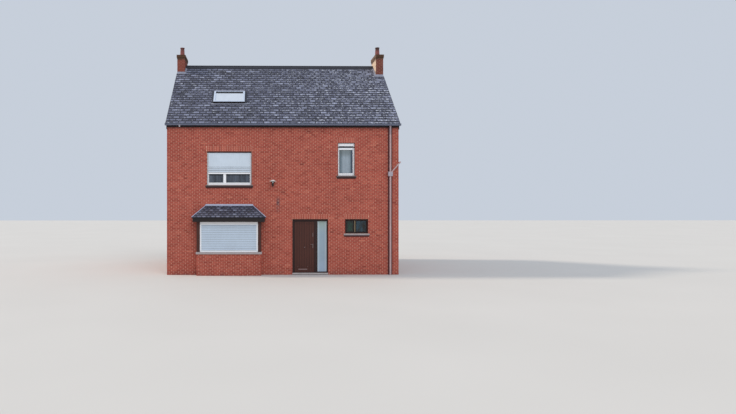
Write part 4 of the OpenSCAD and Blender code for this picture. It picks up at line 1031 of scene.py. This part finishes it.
whiteLights = []
whiteBars = sash["bar"], sash["rail"]
for side, middle, low, width, height in (openings["wide_window"], openings["narrow_window"], *hidden):
    height -= 0 if side else sash["boxHeight"]
    mullions = [sash["mullion"]] if width > 1.9 else []
    lights = lightsOf(middle, low, width, height, *whiteBars, mullions, sash["mullionWidth"])
    whiteLights += [(wallFrame(side), light, reveal["depth"]) for light in lights]
bayLights = lightsOf(*sash["bay"], *whiteBars, [sash["bayMullion"]], sash["mullionWidth"])
whiteLights += [(wallFrame(0, bay["front"]), light, sash["bayDepth"]) for light in bayLights]
lowSizes = *openings["low_window"][1:], sash["darkBar"], sash["darkBar"]
lowLights = lightsOf(*lowSizes, [sash["darkMullion"]], sash["darkMullionWidth"])
darkLights = [(wallFrame(0), light, reveal["depth"]) for light in lowLights]
# the dark rings round each pane are wider than real ones: painted shade at the pane's edge
for name, lights, part, mat, slot in (
        ("white_sashes", whiteLights, "profile", white, "white_frame"),
        ("dark_sashes", darkLights, "profile", darkTimber, "brown_timber"),
        ("window_gaskets", whiteLights + darkLights, "gasket", gasket, "dark_metal")):
    piece(name, joined([rimOf(*light, sash[part]) for light in lights]), mat)
print("lights:", len(whiteLights) + len(darkLights))

# Roof window: pale rim and dark seal round the pane

windowLight = roofWindowGrown(-roofWindow["bar"])
for name, mat, profile in (
        ("roof_window_rim", roofBars, [(-0.002, -0.02), (-0.002, 0.004), (0.002, 0.009), (0.03, 0.009),
                                       (0.034, 0.005), (0.034, -0.002)]),
        ("roof_window_seal", gasket, [(-0.016, -0.0205), (-0.015, -0.014), (-0.0015, -0.014),
                                      (-0.0005, -0.0205)])):
    piece(name, rimOf(frontSlope, windowLight, -roofWindow["out"], profile), mat)

# Front door: boards outside and inside, rails, and the letter plate's studs

door = {"left": 0.514, "right": 1.359, "low": 0.092, "high": 2.286, "face": 3.914, "rail": 0.2,
        "head": 0.085, "boards": 8, "gap": 0.011, "thick": 0.006, "arris": 0.004,
        "inside": (-1.365, -0.54, 0.1, 2.29), "insideFace": 3.856, "insideThick": 0.004,
        "insideArris": 0.0018, "studX": (0.641, 1.073), "studZ": 0.345, "stud": (0.012, 0.006),
        "sunk": 0.001}


def boardRows(left, right, low, high, count=1, gap=0.0):
    # equal boards side by side between left and right
    step = (right - left + gap) / count
    starts = left + np.arange(count) * step
    return np.stack([starts, starts + step - gap, np.full(count, low), np.full(count, high)], 1)


def boardsOn(rows, placed, thick, arris):
    # rectangles on a face thickened into boards
    rows, sunk = np.array(rows), door["sunk"]
    corners = setOut(rows[:, [0, 1, 1, 0]], rows[:, [2, 2, 3, 3]], placed)
    return blocks(corners - sunk * placed[3], placed[3], thick + sunk, arris)


def dome(centre, radius, height, rings=5, around=16):
    # rings of a squashed half ball: radius falls as a cosine while height rises as a sine
    bend = np.linspace(0, math.pi / 2 - 0.02, rings)[None, :]
    turn = np.linspace(0, 2 * math.pi, around, endpoint=False)[:, None]
    across = -radius * np.cos(bend) * np.cos(turn)
    upright = radius * np.cos(bend) * np.sin(turn)
    out = -height * np.sin(bend) + 0 * turn
    points = np.asarray(centre) + np.stack([across, out, upright], axis=-1)
    return points.reshape(-1, 3), gridFaces(around, rings, True)[:, ::-1]


railTop = door["low"] + door["rail"]
headFoot = door["high"] - door["head"]
ends = door["left"], door["right"]
boarding = door["boards"], door["gap"]
doorRows = np.concatenate([
    boardRows(*ends, railTop + door["gap"], headFoot - door["gap"], *boarding),
    boardRows(*ends, door["low"], railTop), boardRows(*ends, headFoot, door["high"])])
outside = boardsOn(doorRows, wallFrame(0, door["face"]), door["thick"], door["arris"])
piece("door_boards", outside, doorTimber, "door")
insideRows = boardRows(*door["inside"], *boarding)
insideSizes = door["insideThick"], door["insideArris"]
inside = boardsOn(insideRows, wallFrame(2, -door["insideFace"]), *insideSizes)
piece("door_inside_boards", inside, timber, "door")
studY = -door["face"] - door["thick"]
studs = [dome((x, studY, door["studZ"]), *door["stud"]) for x in door["studX"]]
piece("door_studs", joined(studs), handleMetal, "door", smooth=True)
print("door boards:", len(doorRows))

# Joints and painted shade round the shuttered windows, strips, the bay's fascia and the lamp's bulb

trim = {"sealant": 0.022, "guide": 0.06, "slot": 0.009, "face": 4.0, "thick": 0.003, "arris": 0.001,
        "shadeSide": 0.004, "shadeTop": 0.052, "shadeHeight": 0.118, "shadeThick": 0.006, "shadeArris": 0.002,
        "bulb": (-0.445, -4.276, 3.975), "bulbSize": (0.03, 0.04)}
strips = {  # left, right, low and high, the face behind, thickness and arris
    "boxSlotShade": ((2.427, 3.043, 5.482, 5.543), 3.95, 0.004, 0.001),
    "rail": ((2.427, 3.043, 5.546, 5.568), 3.985, 0.003, 0.001),
    "cover": ((3.099, 3.137, 1.842, 2.338), 3.95, 0.012, 0.003),
    "fascia": ((-3.848, -0.792, 2.294, 2.451), 4.555, 0.008, 0.003),
}
strip = {key: boardsOn([row], wallFrame(0, face), *size) for key, (row, face, *size) in strips.items()}
# dark strips round the shuttered windows: painted shade in the reveals and painted shadow under each head
shuttered = (-3.285, -1.355, 3.875, 5.325, 0.06), (2.365, 3.105, 4.285, 5.7, 0.022)
joints = []
wide, guide, slot = trim["sealant"], trim["guide"], trim["slot"]
for left, right, low, high, head in shuttered:
    joints += [(left, left + wide, low, high), (right - wide, right, low, high),
               (left + wide, right - wide, high - head, high),
               (left + guide - slot, left + guide, low, high - head),
               (right - guide, right - guide + slot, low, high - head)]
# dark strips beside the small shutter's box: painted shade
joints += [(2.387, 2.414, 5.486, 5.543), (3.056, 3.083, 5.486, 5.543)]
windowJointShade = boardsOn(joints, wallFrame(0, trim["face"]), trim["thick"], trim["arris"])
# a dark strip over the top of the roof window's pane: painted shadow under its hood
headFace = (frontSlope[0] + roofWindow["out"] * frontSlope[3], *frontSlope[1:])
headTop = windowLight[3] - trim["shadeTop"]
headRow = (windowLight[0] + trim["shadeSide"], windowLight[1] - trim["shadeSide"],
           headTop - trim["shadeHeight"], headTop)
headShade = boardsOn([headRow], headFace, trim["shadeThick"], trim["shadeArris"])
piece("window_joint_shade", windowJointShade, sealant)
# dark strips under the small shutter's box: painted shadow under the curtain's end
piece("shutter_box_slot_shade", joined([strip["boxSlotShade"], strip["rail"]]), slotShadeStrip)
piece("low_window_strip", strip["cover"], coverStrip)
piece("lamp_bulb", dome(trim["bulb"], *trim["bulbSize"]), bulbGlass, smooth=True)
piece("roof_window_head_shade", headShade, gasket)
# the bay's fascia is near-black board that also stands for the canopy's painted shadow
piece("bay_fascia", strip["fascia"], stainedBoard)
print("joints and strips:", len(joints) + len(strips))

# Stage: a pale floor, soft light and the camera at the photograph's angle

stage = {"reach": 120.0, "skyStrength": 0.78, "cameraAt": (-1.0614, -29.603, 2.831), "cameraTurn": -0.0134}
suns = {  # energy, angle, colour and turn
    "side_sun": (2.0, 8, (1.0, 0.87, 0.72), (55, 0, -97)),
    "front_fill": (1.0, 45, (1.0, 0.96, 0.93), (50, 0, 14)),
}
view = {"lens": 28.96, "sensor_width": 36.0, "shift_x": 0.138, "shift_y": 0.003, "clip_end": 400.0}
bpy.context.scene.view_settings.view_transform = "Standard"
edges = np.linspace(-stage["reach"], stage["reach"], 9)
floorX, floorY = np.meshgrid(edges, edges)
floorPoints = np.stack([floorX, floorY, np.full_like(floorX, -0.001)], axis=-1).reshape(-1, 3)
floorFinish = Finish("floor", rough=0.9)
floorFinish.done(floorFinish.shaded("floor", (0.2, 2.0), 0.02))
surface("floor", floorPoints, gridFaces(9, 9), floorFinish.material)

world = bpy.data.worlds.new("studio")
world.use_nodes = True
sky = world.node_tree.nodes["Background"].inputs
sky["Color"].default_value = shade("sky")
sky["Strength"].default_value = stage["skyStrength"]
bpy.context.scene.world = world

for name, (energy, angle, glow, turn) in suns.items():
    sun = bpy.data.lights.new(name, "SUN")
    sun.energy = energy
    sun.angle = math.radians(angle)
    sun.color = glow
    linked(name, sun).rotation_euler = np.radians(turn)

cameraData = bpy.data.cameras.new("camera")
for setting, value in view.items():
    setattr(cameraData, setting, value)
camera = linked("camera", cameraData)
camera.location = stage["cameraAt"]
camera.rotation_euler = (math.pi / 2, 0.0, stage["cameraTurn"])
bpy.context.scene.camera = camera
print("stage and camera set")
